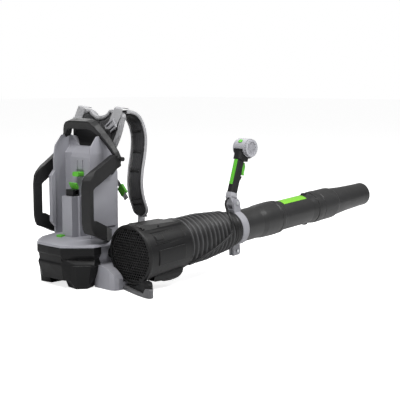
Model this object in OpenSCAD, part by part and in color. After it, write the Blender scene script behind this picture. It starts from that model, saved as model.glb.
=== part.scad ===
// Backpack leaf blower: battery backpack, axial fan at the wearer's right hip, ribbed
// hose, swivelling tubes and a control handle.
// Millimetres. +X is the wearer's forward and the way the air leaves, +Z is up, and the
// fan is on the wearer's right at -Y. The origin is on the ground under the base housing.

/* [Base and battery] */
// Half width of the battery and the deck above it
battery_half_w = 129; // [120:1:136]
// How far the battery's rear face lies behind the origin
battery_rear = 130; // [122:1:140]
// Half width of the battery's flat rear face
battery_face_half_w = 58; // [50:1:66]
// Height of the battery's top face
battery_h = 125; // [116:1:132]
// Where the base housing's rear wall stands behind the origin
bay_wall = 24; // [20:1:28]
// How far the base housing reaches in front of the origin
base_front = 108; // [96:1:118]
// Half width of the base housing
base_half_w = 104; // [98:1:110]
// Height of the arm that carries the fan
arm_h = 70; // [62:1:78]
// How far the arm reaches to the wearer's right
arm_reach = 190; // [182:1:196]
// Half width of the battery's tongue
tongue_half_w = 38; // [32:1:44]
// Height of the tongue's underside
tongue_z = 48; // [42:1:56]
// Height of the tongue
tongue_h = 50; // [42:1:56]
// How far the tongue reaches in front of the battery's front face
tongue_len = 60; // [50:1:68]
// Thickness of the deck's rim
deck_rim = 7; // [5:0.5:9]
// Rise of the deck from its rim to the tower
deck_rise = 13; // [9:1:16]

/* [Tower] */
// Half width of the tower
tower_half_w = 90; // [84:1:94]
// How far the tower's rear edges lie behind the origin
tower_rear = 40; // [34:1:46]
// Position of the tower's front edge
tower_front = 66; // [60:1:72]
// Height at which the tower's rear edges start to lean forward
lean_z = 372; // [350:1:384]
// Height of the shoulders
shoulder_z = 450; // [436:1:462]
// Height of the bottom of the notch between the shoulders
notch_z = 421; // [408:1:430]
// Half width of the bottom of the notch
notch_half_w = 36; // [28:1:44]
// Position of the floor of the rear channel
channel_floor = 4; // [0:1:10]
// Wall thickness of the tower's moulding
shell_wall = 3; // [2.5:0.5:4]
// Half width of the centre panel in the channel
panel_half_w = 46; // [38:1:54]
// Thickness of the centre panel
panel_t = 8; // [5:1:10]
// Half width of the column
column_half_w = 24; // [20:1:28]
// How far the column's rear face lies behind the origin
column_rear = 58; // [50:1:64]
// Height of the column's top
column_top = 270; // [255:1:280]
// Thickness of the plate on the wearer's side
back_plate_t = 4; // [3:0.5:6]

/* [Handles and frame] */
// Distance of the side handles' inner face from the middle
handle_in_y = 116; // [112:1:122]
// Thickness of the side handles across the machine
handle_t = 22; // [18:1:26]
// Height of the top of the carry bar
carry_top = 504; // [494:1:512]
// Thickness of the carry bar
carry_bar_d = 27; // [24:1:29]
// Thickness of the frame's legs beside the tower
leg_t = 13; // [10:1:16]
// Radius of the side studs
stud_r = 6.5; // [6:0.5:10]
// Length of the side studs
stud_len = 20; // [14:1:24]

/* [Fan] */
// Distance of the fan's axis from the machine's middle, towards the wearer's right
fan_offset = 223; // [218:1:228]
// Height of the middle of the intake above the ground
fan_z = 109; // [106:1:114]
// Upward tilt of the air duct in degrees
duct_tilt = 4; // [2:0.5:6]
// Radius of the intake rim
rim_r = 91; // [88:1:92]
// Length of the fan housing
housing_len = 186; // [180:1:192]
// Radius of the housing behind the rim
housing_r1 = 86; // [85:0.5:87]
// Radius of the housing at the hose
housing_r2 = 80; // [79:0.5:82]
// Wall thickness of the housing
housing_wall = 4; // [3:0.5:5]
// Number of impeller blades
blade_count = 9; // [7:1:11]
// Radius of the motor pod
pod_r = 33; // [31:1:36]

/* [Hose and tubes] */
// Radius of the hose's ribs at the fan
hose_r1 = 77; // [75:1:79]
// Radius of the hose's ribs at the handle
hose_r2 = 66; // [64:0.5:68]
// Distance between two ribs
rib_pitch = 19.6; // [19:0.2:21]
// Depth of the ribs
rib_depth = 6; // [4:0.5:7]
// Wall thickness of the hose
hose_wall = 1.8; // [1.4:0.2:2.4]
// Outer radius of the first tube
tube_r = 52; // [51:0.5:53]
// Wall thickness of the tubes
tube_wall = 1.8; // [1.4:0.2:2.2]
// Outer radius of the tubes' sockets
socket_r = 57.5; // [57:0.5:60]
// Distance from the intake to the mouth of the first socket
joint1_s = 662; // [650:1:680]
// Distance from the intake to the mouth of the second socket
joint2_s = 889; // [880:1:900]
// Distance from the intake to the nozzle's mouth
nozzle_end = 1184; // [1150:1:1220]
// Radius of the nozzle's mouth
nozzle_r = 42.5; // [41:0.5:44]

/* [Control handle] */
// Height of the knuckle's axis above the duct's axis
knuckle_n = 84; // [82:1:90]
// Distance of the knuckle's axis from the intake
knuckle_s = 458; // [452:1:464]
// Radius of the knuckle
knuckle_r = 17; // [15:0.5:17.5]
// Forward lean of the grip in degrees, against the duct
grip_lean = 22; // [16:1:28]
// Distance from the knuckle's axis to the head's axis
head_w = 186; // [180:1:196]
// Radius of the head
head_r = 31; // [28:1:33]
// Length of the head's body across the machine
head_len = 46; // [42:1:52]
// Depth of the grip, front to back
grip_d = 30; // [27:1:33]
// Width of the grip across the machine
grip_t = 27; // [24:1:30]

/* [Harness] */
// Width of the shoulder straps
strap_w = 56; // [50:1:62]
// Thickness of the shoulder straps
strap_t = 15; // [12:1:18]
// Width of the webbing
webbing_w = 38; // [32:1:42]

/* [Hidden] */

$fn = 72;
fit = 0.3;             // gap between curved or moving pieces
seat = 0.25;           // gap between pieces that rest on each other
eps = 0.01;

grey = [0.50, 0.50, 0.53];
dark_grey = [0.30, 0.30, 0.32];
black = [0.13, 0.13, 0.14];
green = [0.36, 0.72, 0.16];
webbing_grey = [0.62, 0.61, 0.63];
metal = [0.70, 0.71, 0.73];
copper = [0.72, 0.45, 0.25];

deck_z = battery_h + 1;                   // underside of the deck
deck_top = deck_z + deck_rim + deck_rise; // foot of the tower
side_y = -fan_offset;

// ---------------------------------------------------------------- drawing aids

// Extrudes an (x, z) outline between two y planes
module along_y(y0, y1) {
    translate([0, y1, 0]) rotate([90, 0, 0]) linear_extrude(y1 - y0) children();
}

// Extrudes a (y, z) outline between two x planes
module along_x(x0, x1) {
    translate([x0, 0, 0]) rotate([90, 0, 90]) linear_extrude(x1 - x0) children();
}

// Extrudes an (x, y) outline between two heights
module along_z(z0, z1) {
    translate([0, 0, z0]) linear_extrude(z1 - z0) children();
}

module box(p0, p1) {
    translate(p0) cube(p1 - p0);
}

// Draws its children and their mirror image across the machine's middle
module both_sides() {
    children();
    mirror([0, 1, 0]) children();
}

// Rectangle with rounded corners, centred
module rounded(w, d, r) {
    square([w - 2 * r, d], center = true);
    square([w, d - 2 * r], center = true);
    for (sx = [-1, 1], sy = [-1, 1])
        translate([sx * (w / 2 - r), sy * (d / 2 - r)]) circle(r);
}

// Frame of the air duct: +X along the air, the origin in the intake's middle
module on_duct(s = 0) {
    translate([0, side_y, fan_z]) rotate([0, -duct_tilt, 0]) translate([s, 0, 0]) children();
}

// Turns a (radius, distance) outline about the duct's axis
module turned(points) {
    rotate([0, 90, 0]) rotate_extrude($fn = 120) polygon(points);
}

module ring(r_out, r_in, s0, s1) {
    turned([[r_in, s0], [r_out, s0], [r_out, s1], [r_in, s1]]);
}

// Cylinder across the machine, centred at (x, y, z)
module across(r, len, p = [0, 0, 0]) {
    translate(p) rotate([90, 0, 0]) cylinder(r = r, h = len, center = true);
}

// Frame of the control handle: +Z up the grip, the origin on the knuckle's axis
module on_handle() {
    on_duct(knuckle_s) translate([0, 0, knuckle_n]) rotate([0, grip_lean, 0]) children();
}

// Solid through a list of rings that all have the same number of points
module through_rings(rings) {
    n = len(rings[0]);
    m = len(rings);
    points = [for (r = rings) each r];
    polyhedron(points, concat(
        [[for (i = [0 : n - 1]) i]],
        [for (k = [0 : m - 2], i = [0 : n - 1]) each [
            [k * n + i, (k + 1) * n + i, (k + 1) * n + (i + 1) % n],
            [k * n + i, (k + 1) * n + (i + 1) % n, k * n + (i + 1) % n]]],
        [[for (i = [n - 1 : -1 : 0]) (m - 1) * n + i]]), convexity = 4);
}

function unit(v) = v / norm(v);
function tangent(p, i) = unit(p[min(i + 1, len(p) - 1)] - p[max(i - 1, 0)]);

// Eight corners of a flat band's section: w wide along side, t thick
function band_ring(c, dir, side, w, t) =
    let (flat = unit(side - (side * dir) * dir), up = cross(dir, flat), a = w / 2, b = t / 2)
    [for (k = [[-1, -0.5], [-0.86, -1], [0.86, -1], [1, -0.5], [1, 0.5], [0.86, 1],
               [-0.86, 1], [-1, 0.5]]) c + k[0] * a * flat + k[1] * b * up];

// Flat band along points, w wide along side at each point and t thick
module band(points, side, w, t) {
    through_rings([for (i = [0 : len(points) - 1])
        band_ring(points[i], tangent(points, i), side, w, t)]);
}

// Round tube along points
module cord(points, r, sides = 8) {
    through_rings([for (i = [0 : len(points) - 1])
        let (d = tangent(points, i), a = unit(cross(d, [0, 1, 0.2])), b = cross(d, a))
        [for (k = [0 : sides - 1])
            points[i] + r * (cos(360 * k / sides) * a + sin(360 * k / sides) * b)]]);
}

// ---------------------------------------------------------------- base and battery

// Plan of the deck and of the battery's top: a flat rear face between cut corners
module battery_plan(grow = 0, front = -bay_wall) {
    h = battery_half_w + grow;
    f = battery_face_half_w;
    r = battery_rear + grow;
    cut = battery_half_w - f;
    polygon([[front, h - 8], [-r + cut, h], [-r + cut * 0.42, h - cut * 0.52], [-r, f],
        [-r - 2, 0], [-r, -f], [-r + cut * 0.42, -h + cut * 0.52], [-r + cut, -h],
        [front, -h + 8]]);
}

module battery_case() {
    front = -bay_wall - 0.5;
    low_front = front - 10;
    color(black) difference() {
        union() {
            hull() {
                along_z(104, battery_h) battery_plan(0, front);
                along_z(88, 89) battery_plan(-11, front);
            }
            hull() {
                along_z(88, 89) battery_plan(-11, front);
                along_z(70, 74) battery_plan(-3, front);
            }
            hull() {
                along_z(70, 74) battery_plan(-3, front);
                along_z(24, 26) polygon([[low_front, 80], [-104, 74], [-114, 48], [-114, -48],
                    [-104, -74], [low_front, -80]]);
            }
            // flat rear face
            hull() {
                along_z(battery_h - 1, battery_h) polygon([[-60, battery_face_half_w - 1],
                    [-battery_rear, battery_face_half_w - 1], [-battery_rear - 2, 0],
                    [-battery_rear, -battery_face_half_w + 1], [-60, -battery_face_half_w + 1]]);
                along_z(25, 27) polygon([[-60, 51], [-117, 51], [-117, -51], [-60, -51]]);
            }
            both_sides() hull() {
                along_z(68, 71) polygon([[front, 40], [front, 118], [-66, 121], [-100, 92],
                    [-120, 44]]);
                along_z(0.6, 3) polygon([[low_front, 42], [low_front, 94], [-70, 108],
                    [-96, 88], [-90, 42]]);
            }
            box([front - eps, -tongue_half_w, tongue_z],
                [front + tongue_len, tongue_half_w, tongue_z + tongue_h]);
        }
        // cavity for the cells
        along_z(cell_z, 110) polygon([[front - 4, -76], [-74, -76], [-96, -54], [-96, 54],
            [-74, 76], [front - 4, 76]]);
        // clear of the base's arm
        box([-34 - 2 * seat, -battery_half_w - 1, -1], [0, -base_half_w + 4 + seat, arm_h + seat]);
        // slots for the contact blades
        for (y = blade_ys) box([front + tongue_len - 34, y - 3, tongue_z + 12],
            [front + tongue_len + 1, y + 3, tongue_z + tongue_h - 12]);
        // groove for the latch hook
        box([latch_hook_x - 5, latch_y - 9, battery_h - 8],
            [front + 1, latch_y + 9, battery_h + 1]);
    }
}

blade_ys = [-24, -8, 8, 24];
cell_z = 36;

module battery_cells() {
    cell_r = 10.5;
    cell_h = 70;
    pitch = 2 * cell_r + 0.4;
    color(green) for (i = [0 : 2], j = i == 0 ? [-2 : 2] : [-3 : 3])
        translate([-84 + i * pitch, j * pitch, cell_z + seat]) cylinder(r = cell_r, h = cell_h);
}

module base_housing() {
    color(grey) difference() {
        union() {
            along_z(0, deck_z - seat) polygon([[-bay_wall, -base_half_w],
                [base_front - 24, -base_half_w], [base_front, -base_half_w + 24],
                [base_front, base_half_w - 24], [base_front - 24, base_half_w],
                [-bay_wall, base_half_w]]);
            // arm towards the fan, its top sloping down outwards
            intersection() {
                along_z(0, arm_h) polygon([[-34, -base_half_w + 4], [-34, -arm_reach + 22],
                    [-28, -arm_reach + 6], [-14, -arm_reach], [20, -arm_reach],
                    [96, -arm_reach + 30], [96, -base_half_w + 4]]);
                along_x(-40, 100) polygon([[-base_half_w + 4, 0], [-base_half_w + 4, arm_h],
                    [-base_half_w - 28, arm_h], [-arm_reach + 28, arm_h - 9],
                    [-arm_reach + 8, arm_h - 24], [-arm_reach, arm_h - 36], [-arm_reach, 0]]);
            }
        }
        // bay for the battery's tongue
        box([-bay_wall - 1, -tongue_half_w - 1, tongue_z - 1],
            [tongue_len - bay_wall + 4, tongue_half_w + 1, tongue_z + tongue_h + 1]);
        // hollow behind the front wall
        box([tongue_len - bay_wall + 10, -base_half_w + 8, 12],
            [base_front - 6, base_half_w - 8, deck_z - 8]);
        for (s = [-1, 1]) box([-bay_wall + 6, min(s * 46, s * (base_half_w - 6)), 12],
            [tongue_len - bay_wall + 4, max(s * 46, s * (base_half_w - 6)), deck_z - 8]);
        // room for the fan
        on_duct(-4) rotate([0, 90, 0]) cylinder(r = rim_r + 2, h = 240);
        // recess for the contact block
        translate([0, 0, tongue_z]) for (y = blade_ys)
            box([tongue_len - bay_wall + 3, y - 2.5, 14],
                [tongue_len - bay_wall + 9, y + 2.5, tongue_h - 14]);
    }
}

module battery_terminals() {
    x1 = tongue_len - bay_wall + 9 - seat;
    color(copper) for (y = blade_ys)
        box([x1 - 30, y - 1, tongue_z + 15], [x1, y + 1, tongue_z + tongue_h - 15]);
}

foot_h = 27;
foot_base_h = 11;
foot_end = -fan_offset - 116;
pad_top = 38;

module side_foot() {
    y_in = -arm_reach + 24;
    color(grey) difference() {
        union() {
            along_z(0, foot_base_h) polygon([[2, -arm_reach - seat], [-22, foot_end + 60],
                [-29, foot_end + 20], [-28, foot_end + 4], [-22, foot_end], [-12, foot_end + 2],
                [-2, foot_end + 16], [96, y_in - 34], [96, y_in - 14], [40, -arm_reach - seat]]);
            // raised outer end that cradles the fan
            intersection() {
                along_z(0, foot_h) polygon([[-26, foot_end + 36], [-29, foot_end + 20],
                    [-28, foot_end + 4], [-22, foot_end], [-12, foot_end + 2],
                    [-2, foot_end + 16], [12, foot_end + 36]]);
                along_x(-30, 40) polygon([[foot_end, 0], [foot_end, foot_h - 6],
                    [foot_end + 5, foot_h], [foot_end + 18, foot_h], [foot_end + 30, foot_base_h],
                    [foot_end + 36, 0]]);
            }
        }
        // shallow groove along the top
        on_duct(-8) rotate([0, 90, 0]) cylinder(r = rim_r + fit, h = 300);
    }
}

// Soft cradle between the foot and the fan
module foot_pad() {
    color(black) difference() {
        union() {
            along_z(foot_base_h + seat, pad_top) polygon([[6, -arm_reach - 22],
                [-14, foot_end + 60], [-20, foot_end + 38], [4, foot_end + 38],
                [34, -arm_reach - 40], [34, -arm_reach - 22]]);
            intersection() {
                along_z(foot_base_h + seat, pad_top + 5) polygon([[-20, foot_end + 44],
                    [-26, foot_end + 24], [-25, foot_end + 8], [-20, foot_end + 3],
                    [-12, foot_end + 4], [-1, foot_end + 20], [8, foot_end + 44]]);
                along_x(-30, 40) polygon([[foot_end + 3, foot_h], [foot_end + 4, foot_h + 10],
                    [foot_end + 11, foot_h + 15], [foot_end + 20, pad_top + 5],
                    [foot_end + 44, pad_top + 5], [foot_end + 44, foot_base_h],
                    [foot_end + 31, foot_base_h]]);
            }
        }
        // clear of the foot's raised end
        along_x(-40, 40) polygon([[foot_end - 2, 0], [foot_end - 2, foot_h + seat],
            [foot_end + 18.2, foot_h + seat], [foot_end + 30.3, foot_base_h + seat],
            [foot_end + 30.3, 0]]);
        on_duct(-60) rotate([0, 90, 0]) cylinder(r = rim_r + fit, h = 300);
    }
}

// Battery latch: the button presses one end of a lever whose hook holds the battery
latch_y = 22;
latch_pin_x = -48;
latch_hook_x = -34;
latch_pin_z = deck_z + 6;
button_x = -67;

module deck_cover() {
    color(grey) difference() {
        hull() {
            along_z(deck_z, deck_z + deck_rim) battery_plan(0, 40);
            along_z(deck_top - 1, deck_top) polygon([[40, tower_half_w + 4],
                [-tower_rear - 6, tower_half_w - 2], [-column_rear - 6, 40],
                [-column_rear - 6, -40], [-tower_rear - 6, -tower_half_w + 2],
                [40, -tower_half_w - 4]]);
        }
        // room for the latch
        box([button_x - 13, latch_y - 13, deck_z - 1], [-26, latch_y + 13, deck_z + 12.5]);
        // way for the release button
        box([button_x - 8.3, latch_y - 11.3, deck_z + 8], [button_x + 8.3, latch_y + 11.3, 170]);
    }
}

module release_button() {
    z0 = latch_pin_z + 1.5 + seat;
    color(green) union() {
        box([button_x - 8, latch_y - 11, z0 + 3], [button_x + 8, latch_y + 11, deck_top + 4]);
        box([button_x - 2.5, latch_y - 5, z0], [button_x + 0.5, latch_y + 5, z0 + 3 + eps]);
    }
}

module release_lever() {
    color(metal) union() {
        box([button_x - 5, latch_y - 7, latch_pin_z - 1.5],
            [latch_hook_x + 2.5, latch_y + 7, latch_pin_z + 1.5]);
        across(3.2, 14, [latch_pin_x, latch_y, latch_pin_z]);
        box([latch_hook_x - 2.5, latch_y - 7, battery_h - 1.9],
            [latch_hook_x + 2.5, latch_y + 7, latch_pin_z + 1.5]);
        across(1.5, 25.6, [latch_pin_x, latch_y, latch_pin_z]);
    }
}

// ---------------------------------------------------------------- tower

// Side outline of the tower: rear edges upright, then leaning forward to the shoulder
module tower_side(g = 0) {
    polygon([[-tower_rear + g, deck_top - 20], [-tower_rear + g, lean_z + 8],
        [-34 + g, notch_z + 1], [-10 + g, shoulder_z + 4 - g], [20, shoulder_z + 5 - g],
        [38, shoulder_z - 1 - g], [58 - g, notch_z - 4], [tower_front, notch_z - 20],
        [tower_front, deck_top - 20]]);
}

// Rear outline of the tower, with the notch between the shoulders
module tower_rear_outline(g = 0) {
    h = tower_half_w - g;
    polygon([[-h, deck_top], [-h, lean_z + 30], [-h + 5, shoulder_z + 6],
        [-h + 20, shoulder_z - 1 - g], [-notch_half_w, notch_z - g], [notch_half_w, notch_z - g],
        [h - 20, shoulder_z - 1 - g], [h - 5, shoulder_z + 6], [h, lean_z + 30], [h, deck_top]]);
}

column_base = 30;
pod_z0 = 165;
pod_z1 = 342;

module rear_shell() {
    fin = 6;
    w = tower_half_w;
    f = channel_floor;
    color(grey) difference() {
        union() {
            difference() {
                intersection() {
                    along_y(-w, w) tower_side();
                    along_x(-60, tower_front) tower_rear_outline();
                }
                // rear channel, its floor leaning forward to the notch
                along_y(-w + fin, w - fin) polygon([[-70, deck_top - 1], [f, deck_top - 1],
                    [f, notch_z - 22], [f + 18, notch_z], [f + 22, 520], [-70, 520]]);
            }
            // centre panel
            along_y(-panel_half_w, panel_half_w) polygon([[f + 2, deck_top],
                [f - panel_t, deck_top], [f - panel_t, notch_z - 34], [f - 2, notch_z - 22],
                [f + 14, notch_z - 4], [f + 14, deck_top]]);
            // ribs on the centre panel
            both_sides() along_y(11, 14) polygon([[f - panel_t + 1, button_z + 14],
                [f - panel_t - 3, button_z + 17], [f - panel_t - 3, button_z + 42],
                [f - panel_t + 1, button_z + 46]]);
            // column with cut corners
            along_z(deck_top, column_top) polygon([[f, column_base], [-column_rear + 26, column_base],
                [-column_rear + 24, column_half_w + 1], [-column_rear, column_half_w],
                [-column_rear, -column_half_w], [-column_rear + 24, -column_half_w - 1],
                [-column_rear + 26, -column_base], [f, -column_base]]);
            // side pods inside the side handles
            both_sides() side_pod();
        }
        // hollow for the controller
        intersection() {
            along_y(-w + shell_wall, w - shell_wall) polygon([[f + shell_wall, deck_top + 4],
                [f + shell_wall, notch_z - 24], [f + 18 + shell_wall, notch_z - 4],
                [tower_front + 1, notch_z - 4], [tower_front + 1, deck_top + 4]]);
            along_x(-60, tower_front + 1) tower_rear_outline(shell_wall);
        }
        // hollow of the column
        box([-column_rear + shell_wall, -column_half_w + shell_wall, deck_top + 4],
            [f + shell_wall + 1, column_half_w - shell_wall, column_top - 4]);
        // recess and hole of the tower button
        box([f - panel_t - 1, -18, button_z - 11], [f - panel_t + 3, 18, button_z + 13]);
        translate([f - panel_t - 2, 0, button_z]) rotate([90, 0, 90])
            linear_extrude(30) rounded(28.6, 14.6, 5);
        for (z = screw_zs, s = [-1, 1]) translate([tower_front - 12, s * screw_y, z])
            rotate([0, 90, 0]) cylinder(r = 1.9, h = 13);
        // grooves that the carry frame's legs lie in
        both_sides() leg_space(3, 7);
    }
}

screw_zs = [180, 262, 336];
screw_y = tower_half_w - 7;

// Raised pad on the tower's side, framed by the side handle
module side_pod() {
    w = tower_half_w;
    along_y(w - 3, w + 4) polygon([[-tower_rear - 14, pod_z0 + 18], [-tower_rear - 14, pod_z1 - 14],
        [-tower_rear + 2, pod_z1 + 4], [6, pod_z1 + 4], [14, pod_z1 - 24],
        [tower_front - 8, pod_z1 - 24], [tower_front - 8, pod_z0 + 14], [8, pod_z0 + 14],
        [4, pod_z0], [-tower_rear + 6, pod_z0 - 2]]);
    along_y(w - 11, w + 4) polygon([[-tower_rear - 14, pod_z0 + 18], [-tower_rear - 14, pod_z1 - 14],
        [-tower_rear + 1, pod_z1 + 3], [-tower_rear + 1, pod_z0 + 2]]);
}

button_z = 336;
button_out = 20;

// Long push tab that opens the harness frame's lock
module tower_button() {
    x0 = channel_floor - panel_t;
    color(green) translate([x0 - button_out, 0, button_z]) rotate([90, 0, 90])
        linear_extrude(button_out + 12) rounded(28, 14, 4.8);
}

// Square socket on the column's top, open to the machine's right
socket_h = 20;
socket_w = 17;
socket_x0 = -47;
socket_x1 = -22;

module charge_socket() {
    z0 = column_top;
    color(black) difference() {
        box([socket_x0, -socket_w, z0 + seat], [socket_x1, socket_w, z0 + socket_h]);
        box([socket_x0 + 4, -socket_w - 1, z0 + 4], [socket_x1 - 3, -4, z0 + socket_h - 3]);
    }
    color(metal) box([socket_x0 + 8, -socket_w + 2, z0 + 4.2], [socket_x0 + 13, -4 - eps,
        z0 + socket_h - 6]);
}

// Flap of the socket, hinged behind it and shown open
cover_hinge_x = socket_x1 - 4;
cover_hinge_z = column_top + socket_h + 3.4;

module socket_cover() {
    lean = 24;
    color(green) translate([cover_hinge_x, 0, cover_hinge_z]) {
        rotate([0, -lean, 0]) box([-2, -19, 1.5], [2, 19, 18]);
        across(3, 30);
    }
}

module controller_box() {
    color(dark_grey) box([tower_front - 42, -58, 190], [tower_front - seat, 58, 370]);
}

module back_plate() {
    x0 = tower_front;
    x1 = tower_front + back_plate_t;
    color(black) difference() {
        union() {
            along_x(x0, x1) polygon([[-86, deck_z + 2], [-tower_half_w, 160], [-tower_half_w, 344],
                [-81, 364], [-62, 404], [-50, 452], [50, 452], [62, 404], [81, 364],
                [tower_half_w, 344], [tower_half_w, 160], [86, deck_z + 2]]);
            for (y = [-30, 0, 30]) box([x1 - eps, y - 2, 150], [x1 + 4, y + 2, 370]);
        }
        for (z = screw_zs, s = [-1, 1]) translate([x0 - 1, s * screw_y, z])
            rotate([0, 90, 0]) cylinder(r = 2.3, h = 20);
    }
}

module case_screws() {
    x1 = tower_front + back_plate_t;
    color(metal) for (z = screw_zs, s = [-1, 1]) translate([0, s * screw_y, z]) {
        translate([x1 + seat, 0, 0]) rotate([0, 90, 0]) cylinder(r = 4, h = 2.4);
        translate([x1 - 14, 0, 0]) rotate([0, 90, 0]) cylinder(r = 1.8, h = 14 + seat + eps);
    }
}

// ---------------------------------------------------------------- frame and handles

leg_in = tower_half_w + seat;
leg_y = 135.5;

// Half of the frame's path: middle of the bar, round the corner and down the leg to the
// knee. Each station is (x, y, z, depth, thickness), the heights below the bar's top.
frame_stations = [[2, 0, -14, 27, carry_bar_d], [2, 43, -14, 27, carry_bar_d],
    [2.5, 57, -17, 27, 25], [4.5, 67, -23.5, 26, 21], [8.5, 75.5, -32.5, 26, 18],
    [15, 85.5, -45, 25, 16], [19, 100, -60, 24, leg_t + 2], [22, 112, -73.5, 23, leg_t + 1],
    [25, 121.5, -86, 22, leg_t + 1], [28.5, 129.5, -98.5, 22, leg_t],
    [32, 134, -110.5, 20, leg_t], [33.5, leg_y, -121, 19, leg_t],
    [32.5, leg_y, -131, 16, leg_t], [30, leg_y, -138, 12, leg_t]];

function station(s, side) = [s[0], side * s[1], carry_top + s[2]];
n_st = len(frame_stations);
frame_path = concat([for (i = [n_st - 1 : -1 : 0]) station(frame_stations[i], -1)],
    [for (i = [1 : n_st - 1]) station(frame_stations[i], 1)]);
frame_sizes = concat([for (i = [n_st - 1 : -1 : 0]) frame_stations[i]],
    [for (i = [1 : n_st - 1]) frame_stations[i]]);
stud_z = carry_top - 116;
stud_x = 33;
stud_collar_y = 143;

module carry_frame() {
    color(black) union() {
        through_rings([for (i = [0 : len(frame_path) - 1])
            frame_ring(frame_path[i], tangent(frame_path, i), frame_sizes[i][3],
                frame_sizes[i][4])]);
        both_sides() {
            across(stud_r, stud_len + 6, [stud_x, stud_collar_y - 7 + stud_len / 2, stud_z]);
            across(stud_r + 2.4, 8, [stud_x, stud_collar_y - 4, stud_z]);
        }
    }
}

// Space of the leg between two stations, with room round it
module leg_space(i0, i1) {
    through_rings([for (i = [i0 : i1]) let (s = frame_stations[i])
        frame_ring(station(s, 1), tangent(frame_path, n_st - 1 + i), s[3] + 1, s[4] + 1)]);
}

// Section of the frame: depth along the outer side, thickness across it, corners cut
function frame_ring(c, dir, w, t) =
    let (side = [1, 0, 0.35], flat = unit(side - (side * dir) * dir), up = cross(dir, flat),
        a = w / 2, b = t / 2, u = 1 - 5 / w, v = 1 - 5 / t)
    [for (k = [[-1, -v], [-u, -1], [u, -1], [1, -v], [1, v], [u, 1], [-u, 1], [-1, v]])
        c + k[0] * a * flat + k[1] * b * up];

bar_x0 = -95;
bar_x1 = -63;

// One length of the side handle between two sections, each (x, y, z0, z1, thickness)
module handle_length(a, b) {
    hull() {
        handle_section(a);
        handle_section(b);
    }
}

module handle_section(s) {
    translate([s[0], s[1], s[2]]) cube([2, s[4], s[3] - s[2]]);
}

module side_handle() {
    y = handle_in_y;
    t = handle_t;
    color(black) difference() {
        side_handle_arms(y, t);
        // clear of the deck's slope
        along_x(-60, 60) polygon([[leg_in - 1, deck_z], [leg_in - 1, deck_top + seat],
            [tower_half_w + 5, deck_top + seat], [battery_half_w + 1, deck_z + deck_rim + 1],
            [battery_half_w + 1, deck_z]]);
        leg_space(7, 13);
        across(stud_r + 2.9, 16, [stud_x, stud_collar_y - 4, stud_z]);
    }
}

module side_handle_arms(y, t) {
    union() {
        // bracket between the tower and the knee
        hull() {
            translate([16, leg_in, 336]) cube([34, 1, 30]);
            translate([12, leg_y - 12, 356]) cube([24, 3, 16]);
        }
        // upper arm, from the knee back to the bend
        handle_length([39, leg_y - 8, 366, 397, leg_t], [12, y + 8, 354, 400, t - 3]);
        handle_length([12, y + 8, 354, 400, t - 3], [-20, y + 4, 331, 379, t - 2]);
        handle_length([-20, y + 4, 331, 379, t - 2], [-54, y + 1, 309, 358, t - 2]);
        // upper bend, bar and lower bend: the bar's rear outer edge is cut back
        hull() {
            translate([-55, y + 1, 309]) cube([1, t - 2, 49]);
            along_z(300, 302) bar_plan();
            along_z(320, 329) bar_plan(4);
            along_z(335, 341) bar_plan(11);
        }
        along_z(205, 301) bar_plan();
        hull() {
            along_z(204, 206) bar_plan();
            along_z(184, 192) bar_plan(4);
            along_z(171, 178) bar_plan(11);
            translate([-55, y + 1, 161]) cube([1, t - 2, 46]);
        }
        // lower arm, forward and in to the tower's foot
        handle_length([-54, y + 1, 161, 207, t - 2], [-18, y + 3, 144, 188, t - 2]);
        handle_length([-18, y + 3, 144, 188, t - 2], [30, leg_in, 130, 170, leg_t + 1]);
    }
}

module bar_plan(g = 0) {
    y0 = handle_in_y;
    y1 = handle_in_y + handle_t;
    polygon([[bar_x0 + g, y0 + 2], [bar_x0 + g + 2, y0], [bar_x1 - 2, y0], [bar_x1, y0 + 2],
        [bar_x1, y1 - 2], [bar_x1 - 2, y1], [bar_x0 + g + 18, y1], [bar_x0 + g, y1 - 16]]);
}

module left_side_handle() side_handle();
module right_side_handle() mirror([0, 1, 0]) side_handle();

// Dished panel that closes the notch behind the carry bar
module grip_recess_panel() {
    x0 = channel_floor + 22;
    h = notch_half_w - seat;
    z0 = notch_z + seat;
    color(dark_grey) difference() {
        union() {
            along_x(x0 - 14, tower_front - seat) polygon([[-h, z0], [h, z0],
                [h + 28, z0 + 23.4], [h + 29, z0 + 32], [h + 22, carry_top - 31],
                [-h - 22, carry_top - 31], [-h - 29, z0 + 32], [-h - 28, z0 + 23.4]]);
            // cheeks behind the shoulders, down to the shell's slope
            along_y(-tower_half_w + 4, tower_half_w - 4) polygon([
                [38 + 2 * seat, carry_top - 32], [38 + 2 * seat, shoulder_z - 1 + seat],
                [52, shoulder_z - 23], [52, shoulder_z - 10], [45, carry_top - 32]]);
        }
        // front of the shell's notch
        along_y(-70, 70) polygon([[x0 - 20, z0 - 2], [x0 + seat, z0 - 2], [x0 + seat, z0 + 18],
            [x0 - 20, z0 + 34]]);
        // hollow for the hand
        across(42, 150, [x0 - 27, 0, carry_top - 46]);
        // keep clear of the legs
        both_sides() leg_space(2, 7);
    }
}

// ---------------------------------------------------------------- fan

module grille_rim() {
    color(black) on_duct() turned([[rim_r - 6.5, 0], [rim_r - 2, 0], [rim_r, 3],
        [rim_r, rim_len], [housing_r1 - 1 + fit, rim_len], [housing_r1 - 1 + fit, 4],
        [rim_r - 6.5, 4]]);
}

rim_len = 10;

grille_pitch = 12.4;

module intake_grille() {
    r = housing_in(7) + 1;
    color(black) on_duct(4 + seat) rotate([90, 0, 90]) linear_extrude(3) difference() {
        circle(r, $fn = 120);
        for (i = [-7 : 7], j = [-8 : 8]) {
            p = [(i + (j % 2 == 0 ? 0 : 0.5)) * grille_pitch, j * grille_pitch * sqrt(3) / 2];
            if (norm(p) < r - 8 && norm(p) > 12) translate(p) circle(5.2, $fn = 6);
        }
    }
}

function housing_in(s) = housing_r1 - housing_wall
    + (housing_r2 - housing_r1) * s / housing_len;

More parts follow.
